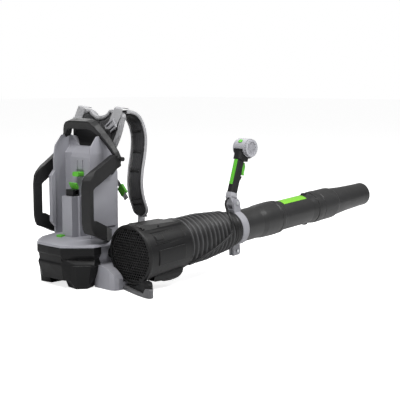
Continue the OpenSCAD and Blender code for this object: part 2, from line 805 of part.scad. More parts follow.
module fan_housing() {
    r1 = housing_r1;
    r2 = housing_r2;
    l = housing_len;
    color(black) on_duct() difference() {
        union() {
            turned([[70, 7.5], [r1 - 1, 7.5], [r1 - 1, rim_len + 4], [r1, rim_len + 4],
                [r2, l - 8], [r2, l], [70, l]]);
            // flat service box on top, sloping towards the hose
            intersection() {
                along_y(-46, 46) polygon([[16, 40], [18, 84], [30, 89], [60, 86], [156, 80],
                    [174, 74], [174, 40]]);
                along_x(10, 180) polygon([[-48, 40], [-46, 74], [-34, 90], [26, 90], [38, 80],
                    [46, 66], [46, 40]]);
            }
            // boss that bolts the housing to the base
            intersection() {
                across(19, 50, [34, fan_offset - base_half_w - seat - 25, -12]);
                box([-20, 40, -60], [80, fan_offset - base_half_w - seat, 60]);
            }
            // raised name panel on the outer side, left plain
            intersection() {
                ring(r1 + 1.6, 60, 42, 150);
                along_x(42, 150) polygon([[0, 0], [-140, 26], [-140, -52]]);
            }
        }
        turned([[0, 7], [housing_in(7), 7], [housing_in(l - 16), l - 16], [69, l - 5],
            [69, l + 1], [0, l + 1]]);
        // grooves around the latch panel on the outer side
        for (a = [40, 68]) rotate([a, 0, 0]) box([36, -1.2, r1 - 4.5], [168, 1.2, r1 + 9]);
        rotate([54, 0, 0]) box([164, -20, r1 - 6.5], [168, 20, r1 + 9]);
        for (x = fan_screw_xs) translate([x, -47, 78]) rotate([90, 0, 0])
            cylinder(r = 3.4, h = 8, center = true);
    }
}

fan_screw_xs = [22, 80];

module fan_screws() {
    color(metal) on_duct() for (x = fan_screw_xs)
        translate([x, -43 - seat, 78]) rotate([90, 0, 0]) difference() {
            cylinder(r = 3.1, h = 1.8);
            translate([0, 0, 1]) cylinder(r = 1.6, h = 2, $fn = 6);
        }
}

// Saddle and plate that hold the housing on the base's arm
module support_bracket() {
    y_in = -base_half_w - seat;
    color(black) difference() {
        union() {
            intersection() {
                along_y(side_y - 56, side_y + 40) polygon([[52, 29], [62, 26], [92, 25], [103, 20],
                    [134, 18.5], [151, 23], [164, 35], [171, 50], [171, 70], [52, 70]]);
                along_x(50, 180) polygon([[side_y - 50, 70], [side_y - 52, 42],
                    [side_y - 46, 28], [side_y - 34, 19], [side_y - 20, 16], [side_y + 40, 16],
                    [side_y + 40, 50]]);
            }
            box([52, side_y + 30, 12], [95, -arm_reach + 31, 30]);
        }
        on_duct(-10) rotate([0, 90, 0]) cylinder(r1 = housing_r1 + 0.8,
            r2 = housing_r1 + 0.8 + (housing_r2 - housing_r1) * 230 / housing_len, h = 230);
        base_clear();
    }
}

// Space of the base's arm and of the foot, which other pieces keep clear of
module base_clear() {
    box([-40, -arm_reach - 1, -1], [97, 0, 200]);
    box([-40, -400, -1], [97.5, 0, foot_base_h + seat]);
}

impeller_s = 34;
impeller_len = 38;

module impeller() {
    hub_r = pod_r - 2;
    tip_r = housing_in(impeller_s + impeller_len) - 1.6;
    color(dark_grey) on_duct(impeller_s) difference() {
        union() {
            turned([[0, 0], [14, 0], [hub_r, 16], [hub_r, impeller_len], [0, impeller_len]]);
            intersection() {
                for (k = [0 : blade_count - 1]) rotate([360 * k / blade_count, 0, 0])
                    translate([impeller_len / 2, 0, hub_r - 3]) rotate([0, 0, 52])
                        translate([-30, -1.2, 0]) cube([60, 2.4, tip_r]);
                ring(tip_r, hub_r - 2, 3, impeller_len - 2);
            }
        }
        translate([-1, 0, 0]) rotate([0, 90, 0]) cylinder(r = shaft_r + 0.05, h = 60);
    }
}

shaft_r = 4;
pod_s = impeller_s + impeller_len + 3;
pod_len = 74;
shaft_len = pod_s + 57 - impeller_s + 4;

module motor_shaft() {
    color(metal) on_duct(impeller_s - 4) rotate([0, 90, 0]) cylinder(r = shaft_r, h = shaft_len);
}

module motor_pod() {
    color(black) on_duct(pod_s) difference() {
        union() {
            turned([[0, 0], [pod_r, 0], [pod_r, pod_len - 18], [pod_r - 12, pod_len],
                [0, pod_len]]);
            // guide vanes out to the housing's wall
            intersection() {
                for (k = [0 : 6]) rotate([360 * k / 7, 0, 0]) translate([8, -1.2, pod_r - 3])
                    cube([46, 2.4, 70]);
                turned([[pod_r - 2, 8], [housing_in(pod_s + 8) - seat, 8],
                    [housing_in(pod_s + 54) - seat, 54], [pod_r - 2, 54]]);
            }
        }
        // motor space, with bearing seats at both ends
        rotate([0, 90, 0]) translate([0, 0, 8]) cylinder(r = pod_r - 3, h = 44);
        rotate([0, 90, 0]) translate([0, 0, -1]) cylinder(r = 6, h = 12);
        rotate([0, 90, 0]) translate([0, 0, 2]) cylinder(r = 9.5, h = 7);
        rotate([0, 90, 0]) translate([0, 0, 51]) cylinder(r = 9.5, h = 7);
    }
}

module shaft_bearings() {
    color(metal) for (s = [pod_s + 2, pod_s + 51]) on_duct(s)
        ring(9.3, shaft_r + 0.05, 0.2, 6.8);
}

module motor_stator() {
    color(copper) on_duct(pod_s) ring(pod_r - 3 - seat, 18, 14, 46);
}

module motor_rotor() {
    color(metal) on_duct(pod_s) difference() {
        ring(17, shaft_r + 0.05, 13, 47);
        for (k = [0 : 3]) rotate([90 * k, 0, 0]) box([20, -1, 15.5], [40, 1, 18]);
    }
}

// ---------------------------------------------------------------- hose and tubes

hose_start = housing_len;
ribs_rear = 4;
ribs_middle = 2;
ribs_front = 5;
hose_mid_s = hose_start + ribs_rear * rib_pitch;
hose_front_s = hose_mid_s + ribs_middle * rib_pitch;
hose_end = hose_front_s + ribs_front * rib_pitch;
taper_start = hose_start + 5.2 * rib_pitch;

// Rib radius along the duct: level at the fan, then narrowing to the handle
function hose_r(s) = hose_r1 + (hose_r2 - hose_r1)
    * max(0, (s - taper_start) / (hose_end - taper_start));

// One rib's wall as (radius, distance), from valley to valley
function rib(s) = [for (k = [[0, 0.12], [1, 0.36], [1, 0.64], [0, 0.88]])
    [hose_r(s + k[1] * rib_pitch) - rib_depth * (1 - k[0]), s + k[1] * rib_pitch]];

function hose_path(s, n) = [for (i = [0 : n - 1]) each rib(s + i * rib_pitch)];

// Length of hose with n ribs, its bore following the ribs
module hose_length(s, n) {
    outer = concat([[hose_r(s) - rib_depth, s]], hose_path(s, n),
        [[hose_r(s + n * rib_pitch) - rib_depth, s + n * rib_pitch]]);
    inner = [for (i = [len(outer) - 1 : -1 : 0]) outer[i] - [hose_wall, 0]];
    color(black) on_duct() turned(concat(outer, inner));
}

module hose_rear() hose_length(hose_start, ribs_rear);
module hose_middle() hose_length(hose_mid_s, ribs_middle);
module hose_front() hose_length(hose_front_s, ribs_front);

cuff_len = 42;
cuff_end = hose_end + cuff_len;

// Finely ribbed end of the hose, which turns on the first tube
module hose_cuff() {
    r = tube_r + 2;
    s = hose_end;
    color(black) on_duct() turned(concat([[tube_r + fit, s], [hose_r2 - rib_depth, s]],
        [for (i = [0 : 2], k = [[r + 3, 0.15], [r + 6 - i, 0.4], [r + 6 - i, 0.7], [r + 3, 0.9]])
            [k[0], s + (i + k[1]) * 12]],
        [[r, cuff_end - 4], [r, cuff_end], [tube_r + fit, cuff_end]]));
}

clamp_len = 30;
clamp_r = 57.5;

// Clamp round the first tube, with the saddle that carries the handle and a lug below
module clamp_ring() {
    s0 = cuff_end + fit;
    saddle_n = clamp_r + 7;
    k = knuckle_s;
    color(grey) on_duct() difference() {
        union() {
            turned([[tube_r + 1, s0], [clamp_r - 2, s0], [clamp_r, s0 + 3],
                [clamp_r, s0 + clamp_len - 3], [clamp_r - 2, s0 + clamp_len],
                [tube_r + 1, s0 + clamp_len]]);
            // saddle under the knuckle
            difference() {
                along_y(-19, 19) polygon([[k - 16, saddle_n - 8], [k - 16, saddle_n],
                    [k + 18, saddle_n], [s0 + clamp_len - 2, clamp_r - 6], [s0 + 2, clamp_r - 6]]);
                rotate([0, 90, 0]) cylinder(r = tube_r + 1, h = 600);
            }
            // knuckle's ears
            for (t = [-1, 1]) along_y(t * 15.5 - 3.5, t * 15.5 + 3.5) polygon([
                [k - 16, saddle_n - 1], [k - 14, knuckle_n], [k - 10, knuckle_n + 9],
                [k - 4, knuckle_n + 13], [k + 4, knuckle_n + 13], [k + 10, knuckle_n + 9],
                [k + 14, knuckle_n], [k + 16, saddle_n - 1]]);
            // lug below, split by the clamp's gap
            for (t = [-1, 1]) along_y(t * 6 - 4, t * 6 + 4) polygon([[s0 + 2, -clamp_r + 4],
                [s0 - 4, -clamp_r - 6], [s0 - 4, -clamp_r - 34], [s0 + 24, -clamp_r - 34],
                [s0 + 30, -clamp_r - 28], [s0 + clamp_len - 1, -clamp_r + 4]]);
        }
        // pivot and bolt holes
        across(pin_r + 0.05, 60, [k, 0, knuckle_n]);
        across(3.1, 60, [s0 + 15, 0, -clamp_r - 20]);
        // the gap of the clamp
        box([s0 - 60, -2, -clamp_r - 40], [s0 + clamp_len + 1, 2, -40]);
        // clear of the cuff, which turns inside the saddle
        rotate([0, 90, 0]) cylinder(r = tube_r + 9, h = s0 - 0.01);
    }
}

pin_r = 3.5;

module clamp_bolt() {
    s = cuff_end + fit + 15;
    z = -clamp_r - 20;
    color(metal) on_duct() {
        across(3, 26, [s, 0, z]);
        across(5.2, 4, [s, -10 - seat - 2, z]);
        across(5.2, 4, [s, 10 + seat + 2, z]);
    }
}

tube_start = hose_end + 3;
spigot_len = 34;
clamp_end = cuff_end + fit + clamp_len;

// First tube: its neck carries the cuff and the clamp, its flared end takes the second tube
module tube_1() {
    w = tube_wall;
    s0 = tube_start;
    s1 = joint1_s;
    r = socket_r;
    color(dark_grey) on_duct() turned([[tube_r - w, s0], [tube_r, s0], [tube_r, cuff_end + fit / 2],
        [tube_r + 0.7, cuff_end + fit / 2], [tube_r + 0.7, clamp_end + fit],
        [tube_r + 3.4, clamp_end + fit], [tube_r + 3.4, clamp_end + 7], [tube_r + 1.5, clamp_end + 9],
        [tube_r + 1.5, 553], [r - 1, 574], [r, 600], [r + 0.6, 628], [r + 0.4, 644], [r - 2, 646],
        [r - 2, 649], [r - 0.2, 651], [r - 0.2, s1], [r - w - 0.8, s1],
        [r - w - 0.8, s1 - spigot_len], [tube_r - w, s1 - spigot_len - 30]]);
}

tube2_r = 51.5;
socket2_len = 26;
spigot_r = socket_r - tube_wall - 0.8 - fit;

module tube_2() {
    w = tube_wall;
    s0 = joint1_s - spigot_len + 1;
    s1 = joint2_s;
    r = socket_r;
    color(dark_grey) on_duct() difference() {
        union() {
            turned([[spigot_r - w, s0], [spigot_r, s0], [spigot_r, joint1_s + 4],
                [tube2_r + 1, joint1_s + 8], [tube2_r, joint1_s + 24], [tube2_r, 826],
                [r - 3.5, 846], [r - 3.3, 851], [r - 5, 852.5], [r - 5, 855.5], [r - 2, 857],
                [r - 0.8, 872], [r - 0.8, s1], [r - w - 0.8, s1], [r - w - 0.8, s1 - socket2_len],
                [tube2_r - w, s1 - socket2_len - 6], [tube2_r - w, joint1_s + 10]]);
            // bayonet bosses at the socket
            for (a = [0, 180]) rotate([a, 0, 0])
                box([824, -7, tube2_r - 4], [840, 7, r - 0.6]);
        }
        rotate([0, 90, 0]) cylinder(r = tube2_r - w, h = 1200);
    }
}

module nozzle() {
    w = tube_wall;
    s0 = joint2_s - socket2_len + 1;
    r = socket_r - 1.8;
    color(dark_grey) on_duct() turned([[spigot_r - w, s0], [spigot_r, s0], [spigot_r, joint2_s + 3],
        [r, joint2_s + 4], [r, 962], [r - 0.8, 970], [r - 2.4, 971], [r - 2.4, 974],
        [r - 4.4, 980], [r - 6, 1002], [r - 10, 1056], [nozzle_r + 1, 1120],
        [nozzle_r, nozzle_end - 30], [nozzle_r, nozzle_end - 1], [nozzle_r - 0.6, nozzle_end],
        [nozzle_r - w, nozzle_end], [nozzle_r - w, nozzle_end - 30], [nozzle_r + 1 - w, 1120],
        [r - 10 - w, 1056], [r - 6 - w, 1002], [r - 5 - w, 978], [spigot_r - w, 940]]);
}

// Plain label on the second tube
module tube_label() {
    color(green) on_duct() intersection() {
        ring(tube2_r + 0.5, tube2_r + 0.1, joint1_s + 26, joint1_s + 150);
        along_x(joint1_s, joint1_s + 200) polygon([[0, 0], [14, 100], [-66, 100]]);
    }
}

// ---------------------------------------------------------------- control handle

module knuckle() {
    color(grey) on_handle() difference() {
        union() {
            across(knuckle_r - 3, 23.4);
            along_y(-11.7, 11.7) polygon([[-12, -6], [13, -3], [10, 12], [grip_back + 15, 20],
                [grip_back + 15, grip_w0 - 4], [grip_back - 15, grip_w0 - 4],
                [grip_back - 15, 12]]);
            translate([grip_back, 0, grip_w0 - 13]) linear_extrude(13)
                rounded(grip_d + 1, grip_t + 2, 7);
        }
        across(pin_r + 0.05, 40);
    }
}

module knuckle_pin() {
    color(metal) on_duct() {
        across(pin_r, 42, [knuckle_s, 0, knuckle_n]);
        across(6, 2.4, [knuckle_s, -19 - seat - 1.2, knuckle_n]);
        across(6, 2.4, [knuckle_s, 19 + seat + 1.2, knuckle_n]);
    }
}

grip_w0 = 30;
grip_back = -14;      // the grip's middle behind the knuckle's axis
trigger_w0 = 96;
trigger_w1 = 138;
inlay_w0 = grip_w0 + 26;

module grip() {
    top = head_w - head_r - 1;
    u = grip_back + grip_d / 2;
    color(black) on_handle() difference() {
        union() {
            translate([grip_back, 0, grip_w0 + seat]) linear_extrude(top - grip_w0 - seat)
                rounded(grip_d, grip_t, 9);
            // cup that carries the head
            difference() {
                union() {
                    translate([grip_back + 6, 0, top - 12]) linear_extrude(30)
                        rounded(grip_d + 16, grip_t + 10, 12);
                    intersection() {
                        across(head_r + 4, head_len - 10, [0, 0, head_w]);
                        box([-40, -40, top - 10], [40, 40, head_w - 11]);
                    }
                }
                across(head_r + seat, 80, [0, 0, head_w]);
            }
            // guard under the trigger
            along_y(-8, 8) polygon([[u - 4, trigger_w0 - 30], [u + 2, trigger_w0 - 20],
                [u + 6, trigger_w0 - 9], [u + 5, trigger_w0 - 5.5], [u - 4, trigger_w0 - 5.5]]);
        }
        // room for the trigger
        box([u - 13, -7.5, trigger_w0 - 2], [u + 20, 7.5, trigger_w1 + 2]);
        // recess for the inlay
        box([u - grip_d - 1, -7, inlay_w0], [u - grip_d + 2, 7, top - 14]);
        across(pin_r - 1.5 + 0.05, 60, [u - 4, 0, trigger_w1 - 3]);
    }
}

module grip_inlay() {
    top = head_w - head_r - 1;
    x0 = grip_back - grip_d / 2;
    color(green) on_handle() box([x0 - 0.8, -7 + seat, inlay_w0 + seat],
        [x0 + 2 - seat, 7 - seat, top - 14 - seat]);
}

// Sprung trigger with its pin, which turns in the grip
module trigger() {
    u = grip_back + grip_d / 2;
    color(green) on_handle() union() {
        along_y(-6.8, 6.8) polygon([[u - 7, trigger_w1], [u + 8, trigger_w1 - 2],
            [u + 14, trigger_w1 - 14], [u + 14, trigger_w0 + 8], [u + 17, trigger_w0],
            [u + 6, trigger_w0], [u - 1, trigger_w1 - 16]]);
        across(pin_r - 1.5, grip_t - 4, [u - 4, 0, trigger_w1 - 3]);
    }
}

// Drum-shaped head across the top of the grip
module head_housing() {
    y0 = -head_len / 2;
    y1 = head_len / 2;
    color(grey) on_handle() translate([0, 0, head_w]) difference() {
        union() {
            across(head_r, head_len);
            across(head_r - 3, head_len + 5, [0, 2.5, 0]);
        }
        across(head_r - 3, head_len - 7, [0, 0, 0]);
        // spindle hole of the dial
        across(5.05, 12, [0, y0, 0]);
        // hole of the boost button
        rotate([0, boost_angle, 0]) translate([-head_r - 6, 0, 0]) rotate([90, 0, 90])
            linear_extrude(16) rounded(15.6, 12.6, 4);
    }
}

boost_angle = 30;

module boost_button() {
    color(green) on_handle() translate([0, 0, head_w]) rotate([0, boost_angle, 0])
        translate([-head_r - 2.2, 0, 0]) rotate([90, 0, 90]) linear_extrude(9) rounded(15, 12, 3.8);
}

// Ribbed speed dial on the head's outer end
module speed_dial() {
    y = -head_len / 2 - fit;
    color(grey) on_handle() translate([0, 0, head_w]) difference() {
        union() {
            across(head_r - 2, 8, [0, y - 4, 0]);
            across(5, 10, [0, y + 4, 0]);
        }
        for (k = [0 : 23]) rotate([0, 15 * k, 0]) across(1.3, 12, [head_r - 1.7, y - 4, 0]);
        across(head_r - 10, 3, [0, y - 8, 0]);
        for (k = [-3 : 3]) let (h = sqrt(pow(head_r - 12, 2) - pow(5.4 * k, 2)))
            box([5.4 * k - 1.2, y - 9, -h], [5.4 * k + 1.2, y - 4.5, h]);
    }
}

module control_board() {
    color([0.1, 0.35, 0.2]) on_handle() translate([0, 0, head_w]) box(
        [-13, -head_len / 2 + 16.5, -24.6], [13, -head_len / 2 + 18.1, 15]);
}

// Cable from the knuckle across the hose's outer side and along its underside, in the
// duct's frame: distance from the intake, across, above
cable_points = [[432, -5, 103], [422, -8, 101], [411, -13, 96], [400, -21, 88], [391, -33, 79],
    [384, -47, 67], [378, -62, 49], [374, -73, 28], [363, -78, 8], [335, -79.5, -7],
    [305, -79, -19], [275, -76.5, -31], [249, -71, -41], [housing_len + 38, -64, -51],
    [housing_len + 20, -58.5, -57.5], [housing_len + 4, -54, -60.5]];

module control_cable() {
    color(black) on_duct() cord(cable_points, 3.5);
}

// ---------------------------------------------------------------- harness

// The harness keeps its foot and stretches with the carry bar's height
strap_foot_z = 206;
harness_drop = 298;

function lift(z) = strap_foot_z + (z - strap_foot_z) * (carry_top - strap_foot_z) / harness_drop;
function lifted(points) = [for (p = points) [p[0], p[1], lift(p[2])]];

// Padded panel on the wearer's side of the back plate
module back_pad() {
    x0 = tower_front + back_plate_t + 4 + seat;
    color(dark_grey) hull() {
        along_x(x0, x0 + 2) polygon([[-64, 150], [-72, 200], [-72, 340], [-60, 378], [60, 378],
            [72, 340], [72, 200], [64, 150]]);
        along_x(x0 + 14, x0 + 18) polygon([[-52, 166], [-58, 210], [-58, 330], [-48, 362],
            [48, 362], [58, 330], [58, 210], [52, 166]]);
    }
}

// Shoulder yoke with a horn at each shoulder and the neck's hollow between them
yoke_x = tower_front + back_plate_t + 4 + seat;
yoke_t = 14;
yoke_half = [[0, 513], [22, 516], [36, 523], [42, 530], [50, 533], [66, 534], [80, 532],
    [94, 528], [108, 522], [114, 513], [110, 500], [103, 478], [92, 452], [76, 424], [62, 404],
    [56, 384]];

module yoke_pad() {
    n = len(yoke_half);
    right = [for (p = yoke_half) [p[0], lift(p[1])]];
    left = [for (i = [n - 1 : -1 : 1]) [-right[i][0], right[i][1]]];
    color(dark_grey) along_x(yoke_x, yoke_x + yoke_t) polygon(concat(right, left));
}

// Middle line of the right shoulder strap, from the horn down the wearer's chest
strap_points = [[yoke_x + yoke_t + 4.3, -86, 525], [106, -88, 523], [123, -91, 515],
    [137, -94, 500], [148, -96, 474], [153, -97, 446], [152, -97, 416], [147, -97, 384],
    [140, -97, 352], [136, -97, 320], [136, -97, 290], [140, -98, 260], [149, -99, 232],
    [157, -100, 206]];

module shoulder_strap_right() {
    color(dark_grey) band(lifted(strap_points), [0.35, -1, 0], strap_w, strap_t);
}

module shoulder_strap_left() {
    mirror([0, 1, 0]) shoulder_strap_right();
}

// Load lifters: webbing from the yoke's rear face up and over each horn
lift_x = yoke_x - 1.6;

module load_webbing() {
    x1 = yoke_x + yoke_t + 2;
    color(webbing_grey) {
        band(lifted([[lift_x, -62, 482], [lift_x, -76, 505], [lift_x, -88, 522],
            [lift_x, -93, 531], [lift_x + 1, -95, 537], [yoke_x + 5, -97, 540],
            [x1, -98, 538.8], [x1 + 8, -98, 536.4]]), [0, -1, -0.1], webbing_w, 2.4);
        band(lifted([[lift_x, 113, 486], [lift_x, 106, 499], [lift_x, 97, 514],
            [lift_x - 0.2, 86, 532], [lift_x + 0.3, 84, 537.6], [yoke_x + 4, 82, 539.6],
            [x1 - 2, 80, 539.6], [x1 + 6, 80, 537.4]]), [0, 1, 0.1], webbing_w - 2, 2.4);
    }
}

module ladder_buckles() {
    x = lift_x - 4.2;
    z = lift(482);
    color(metal) {
        translate([x, -62, z]) rotate([-32, 0, 0]) ladder_buckle();
        translate([x, 108, z]) rotate([32, 0, 0]) ladder_buckle();
    }
}

module ladder_buckle() {
    difference() {
        cube([5, webbing_w + 8, 30], center = true);
        for (z = [-8, 8]) translate([0, 0, z]) cube([8, webbing_w, 6], center = true);
    }
}

module lower_webbing() {
    color(webbing_grey) both_sides() band([[158, -101, 196], [156, -100, 176], [146, -98, 150],
        [128, -94, 120], [110.3, -90, 96]], [0.2, -1, 0], webbing_w - 10, 2.6);
}

sternum_points = [[142, 66, 322], [144, 40, 316], [142, 10, 308], [136, -18, 296],
    [130, -40, 280], [128, -54, 264], [128, -64, 251]];

module sternum_strap() {
    color(webbing_grey) band(lifted(sternum_points), [0, 0.2, 1], 20, 2.4);
}

module sternum_buckle() {
    color(green) difference() {
        translate([130.5, -42, lift(277)]) rotate([46, 0, 0]) cube([9, 32, 26], center = true);
        band(lifted(sternum_points), [0, 0.2, 1], 20 + seat, 2.4 + seat);
    }
}

base_housing();
side_foot();
foot_pad();
deck_cover();
rear_shell();
back_plate();
carry_frame();
left_side_handle();
right_side_handle();
grip_recess_panel();
charge_socket();
socket_cover();
tower_button();
controller_box();
battery_terminals();
release_button();
release_lever();
case_screws();
battery_case();
battery_cells();
back_pad();
yoke_pad();
shoulder_strap_left();
shoulder_strap_right();
load_webbing();
ladder_buckles();
lower_webbing();
sternum_strap();
sternum_buckle();
fan_housing();
support_bracket();
intake_grille();
grille_rim();
impeller();
motor_shaft();
motor_rotor();
motor_stator();
motor_pod();
shaft_bearings();
fan_screws();
hose_rear();
hose_middle();
hose_front();
hose_cuff();
clamp_ring();
clamp_bolt();
tube_1();
tube_2();
nozzle();
tube_label();
knuckle();
knuckle_pin();
grip();
grip_inlay();
head_housing();
boost_button();
speed_dial();
trigger();
control_board();
control_cable();
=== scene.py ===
import math
import bpy
import bmesh
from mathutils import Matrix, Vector
from mathutils.kdtree import KDTree


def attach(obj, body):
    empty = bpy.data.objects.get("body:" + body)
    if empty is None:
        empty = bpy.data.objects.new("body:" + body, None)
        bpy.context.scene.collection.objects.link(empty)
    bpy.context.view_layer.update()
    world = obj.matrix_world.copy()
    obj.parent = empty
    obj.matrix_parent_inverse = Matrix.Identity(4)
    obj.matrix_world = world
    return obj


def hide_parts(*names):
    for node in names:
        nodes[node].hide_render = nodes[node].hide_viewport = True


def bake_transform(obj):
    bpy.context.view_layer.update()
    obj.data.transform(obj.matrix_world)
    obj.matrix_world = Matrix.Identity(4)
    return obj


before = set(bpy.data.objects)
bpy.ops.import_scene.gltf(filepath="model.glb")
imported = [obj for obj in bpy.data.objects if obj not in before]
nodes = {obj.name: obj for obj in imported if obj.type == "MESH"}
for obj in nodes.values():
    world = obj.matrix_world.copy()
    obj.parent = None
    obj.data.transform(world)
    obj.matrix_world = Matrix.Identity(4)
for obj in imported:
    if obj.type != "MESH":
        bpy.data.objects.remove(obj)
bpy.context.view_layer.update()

scene = bpy.context.scene
MM = 0.001      # metres


# ------------------------------------------------------------ camera
SENSOR = 36             # mm
FOCAL = 924.64          # pixels of the photo
PHOTO = 400             # pixels across
DIP, TURN = 7.163, -45.66   # degrees: below the horizon, round from +Y

cam = bpy.data.objects.new("camera", bpy.data.cameras.new("camera"))
scene.collection.objects.link(cam)
cam.location = (-1.7795, -2.2519, 0.6117)
cam.rotation_euler = (math.radians(90 - DIP), 0, math.radians(TURN))
cam.data.sensor_width = SENSOR
cam.data.lens = FOCAL * SENSOR / PHOTO
cam.data.clip_end = 60
scene.camera = cam


# ------------------------------------------------------------ places
TILT = math.radians(4)          # the duct rises towards the front
DUCT_Y, DUCT_Z = -223, 109      # mm, the middle of the intake


def duct(s, t, n):
    """World point in metres from the duct's frame in mm: along, across, above."""
    return Vector((s * math.cos(TILT) - n * math.sin(TILT), DUCT_Y + t,
                   DUCT_Z + s * math.sin(TILT) + n * math.cos(TILT))) * MM


def along_duct(p):
    """How far along the duct a world point lies, in mm."""
    return (p.x * math.cos(TILT) + (p.z - DUCT_Z * MM) * math.sin(TILT)) / MM


def ring_point(s, r, a):
    """Point round the duct: a degrees from the top towards the outer side."""
    a = math.radians(a)
    return duct(s, -r * math.sin(a), r * math.cos(a))


# ------------------------------------------------------------ materials
def start(name):
    m = bpy.data.materials.new(name)
    m.use_nodes = True
    nt = m.node_tree
    return m, nt, nt.nodes["Principled BSDF"]


def node(nt, kind, **settings):
    n = nt.nodes.new(kind)
    for k, v in settings.items():
        setattr(n, k, v)
    return n


def preset(n, **values):
    """Set named inputs of a node; an underscore stands for a space."""
    for k, v in values.items():
        n.inputs[k.replace("_", " ")].default_value = v


def object_coords(nt):
    return node(nt, "ShaderNodeTexCoord").outputs["Object"]


def noise_node(nt, vec, scale, detail=3.0, rough=0.55):
    n = node(nt, "ShaderNodeTexNoise")
    preset(n, Scale=scale, Detail=detail, Roughness=rough)
    nt.links.new(vec, n.inputs["Vector"])
    return n.outputs["Fac"]


def cells_node(nt, vec, size, randomness, **settings):
    """Distance to the middle of the nearest Voronoi cell."""
    n = node(nt, "ShaderNodeTexVoronoi", feature="F1", **settings)
    preset(n, Scale=1 / size, Randomness=randomness)
    nt.links.new(vec, n.inputs["Vector"])
    return n.outputs["Distance"]


def ranged(nt, value, a, b, c, d):
    """Map the range a..b of a value to c..d."""
    n = node(nt, "ShaderNodeMapRange")
    nt.links.new(value, n.inputs["Value"])
    preset(n, From_Min=a, From_Max=b, To_Min=c, To_Max=d)
    return n.outputs["Result"]


def blended(nt, fac, a, b):
    """Mix two colours, each a tuple or an output."""
    n = node(nt, "ShaderNodeMix", data_type="RGBA")
    nt.links.new(fac, n.inputs[0])
    for v, i in ((a, 6), (b, 7)):
        if isinstance(v, tuple):
            n.inputs[i].default_value = (*v, 1)
        else:
            nt.links.new(v, n.inputs[i])
    return n.outputs[2]


def maths(nt, op, *values):
    n = node(nt, "ShaderNodeMath", operation=op)
    for i, v in enumerate(values):
        if isinstance(v, (int, float)):
            n.inputs[i].default_value = v
        else:
            nt.links.new(v, n.inputs[i])
    return n.outputs[0]


def tinted(c, k):
    return tuple(min(1.0, x * k) for x in c)


def toned(nt, tone, rgb, dark, light):
    """The base colour, drifting between a darker and a lighter tint."""
    return blended(nt, ranged(nt, tone, 0.3, 0.7, 0, 1), tinted(rgb, dark), tinted(rgb, light))


def softened(nt, radius):
    """Normal with the edges rounded off by radius."""
    bevel = node(nt, "ShaderNodeBevel", samples=6)
    preset(bevel, Radius=radius)
    return bevel.outputs["Normal"]


def bumped(nt, b, height, strength, distance, normal=None, **settings):
    """Give the shader b a bump from a height, over the plain or the given normal."""
    bump = node(nt, "ShaderNodeBump", **settings)
    preset(bump, Strength=strength, Distance=distance)
    nt.links.new(height, bump.inputs["Height"])
    if normal:
        nt.links.new(normal, bump.inputs["Normal"])
    nt.links.new(bump.outputs["Normal"], b.inputs["Normal"])


def plastic(name, rgb, rough=0.5, grain=1400, bump=0.12, edge=0.0009, worn=None, dust=0.0,
            coat=0.0, spec=0.5):
    """Moulded plastic: fine grain, faint tone change, softened and slightly worn edges."""
    m, nt, b = start(name)
    obj = object_coords(nt)
    tone = noise_node(nt, obj, 7, 4)
    fine = noise_node(nt, obj, grain, 2)
    mark = noise_node(nt, obj, 60, 6, 0.7)
    base = toned(nt, tone, rgb, 0.9, 1.09)
    base = blended(nt, ranged(nt, fine, 0.35, 0.65, 0, 0.25), base, tinted(rgb, 1.2))
    soft = softened(nt, edge)
    geo = node(nt, "ShaderNodeNewGeometry")
    dot = node(nt, "ShaderNodeVectorMath", operation="DOT_PRODUCT")
    nt.links.new(soft, dot.inputs[0])
    nt.links.new(geo.outputs["Normal"], dot.inputs[1])
    corner = ranged(nt, dot.outputs["Value"], 0.995, 0.86, 0, 1)
    rub = maths(nt, "MULTIPLY", corner, ranged(nt, mark, 0.4, 0.68, 0.15, 1))
    if worn:
        base = blended(nt, maths(nt, "MULTIPLY", rub, 0.6), base, worn)
    if dust:
        up = node(nt, "ShaderNodeSeparateXYZ")
        nt.links.new(geo.outputs["Normal"], up.inputs[0])
        lying = maths(nt, "MULTIPLY", ranged(nt, up.outputs["Z"], 0.3, 1, 0, dust),
                      ranged(nt, mark, 0.35, 0.7, 0.2, 1))
        base = blended(nt, lying, base, DUST)
    nt.links.new(base, b.inputs["Base Color"])
    r = ranged(nt, tone, 0.3, 0.7, rough - 0.05, rough + 0.06)
    r = maths(nt, "ADD", r, ranged(nt, mark, 0.4, 0.8, 0, 0.08))
    r = maths(nt, "SUBTRACT", r, maths(nt, "MULTIPLY", rub, 0.08))
    nt.links.new(r, b.inputs["Roughness"])
    preset(b, Specular_IOR_Level=spec, Coat_Weight=coat, Coat_Roughness=0.25)
    bumped(nt, b, fine, bump, 0.0004, soft)
    return m


def rubber(name, rgb, rough=0.62, pitch=0.0016, bump=0.5, edge=0.002, spec=0.36, crest_wear_and_highlight=None):
    """Soft overmould with a fine pyramid grain; the optional crest colour paints rib tops paler:
    a painted highlight, partly wear.
    """
    m, nt, b = start(name)
    obj = object_coords(nt)
    tone = noise_node(nt, obj, 9, 4)
    grain = cells_node(nt, obj, pitch, 0.25, distance="CHEBYCHEV")
    smear = noise_node(nt, obj, 34, 6, 0.7)
    base = toned(nt, tone, rgb, 0.85, 1.15)
    base = blended(nt, ranged(nt, smear, 0.5, 0.75, 0, 0.28), base, tinted(rgb, 1.9))
    # rib tops made paler: painted highlight on the crests, partly wear
    if crest_wear_and_highlight:
        top = node(nt, "ShaderNodeAttribute", attribute_name="rib_top").outputs["Fac"]
        base = blended(nt, maths(nt, "MULTIPLY", top, ranged(nt, smear, 0.3, 0.6, 0.6, 1)),
                       base, crest_wear_and_highlight)
    nt.links.new(base, b.inputs["Base Color"])
    nt.links.new(ranged(nt, smear, 0.35, 0.7, rough - 0.08, rough + 0.08), b.inputs["Roughness"])
    preset(b, Specular_IOR_Level=spec)
    bumped(nt, b, grain, bump, 0.0003, softened(nt, edge))
    return m


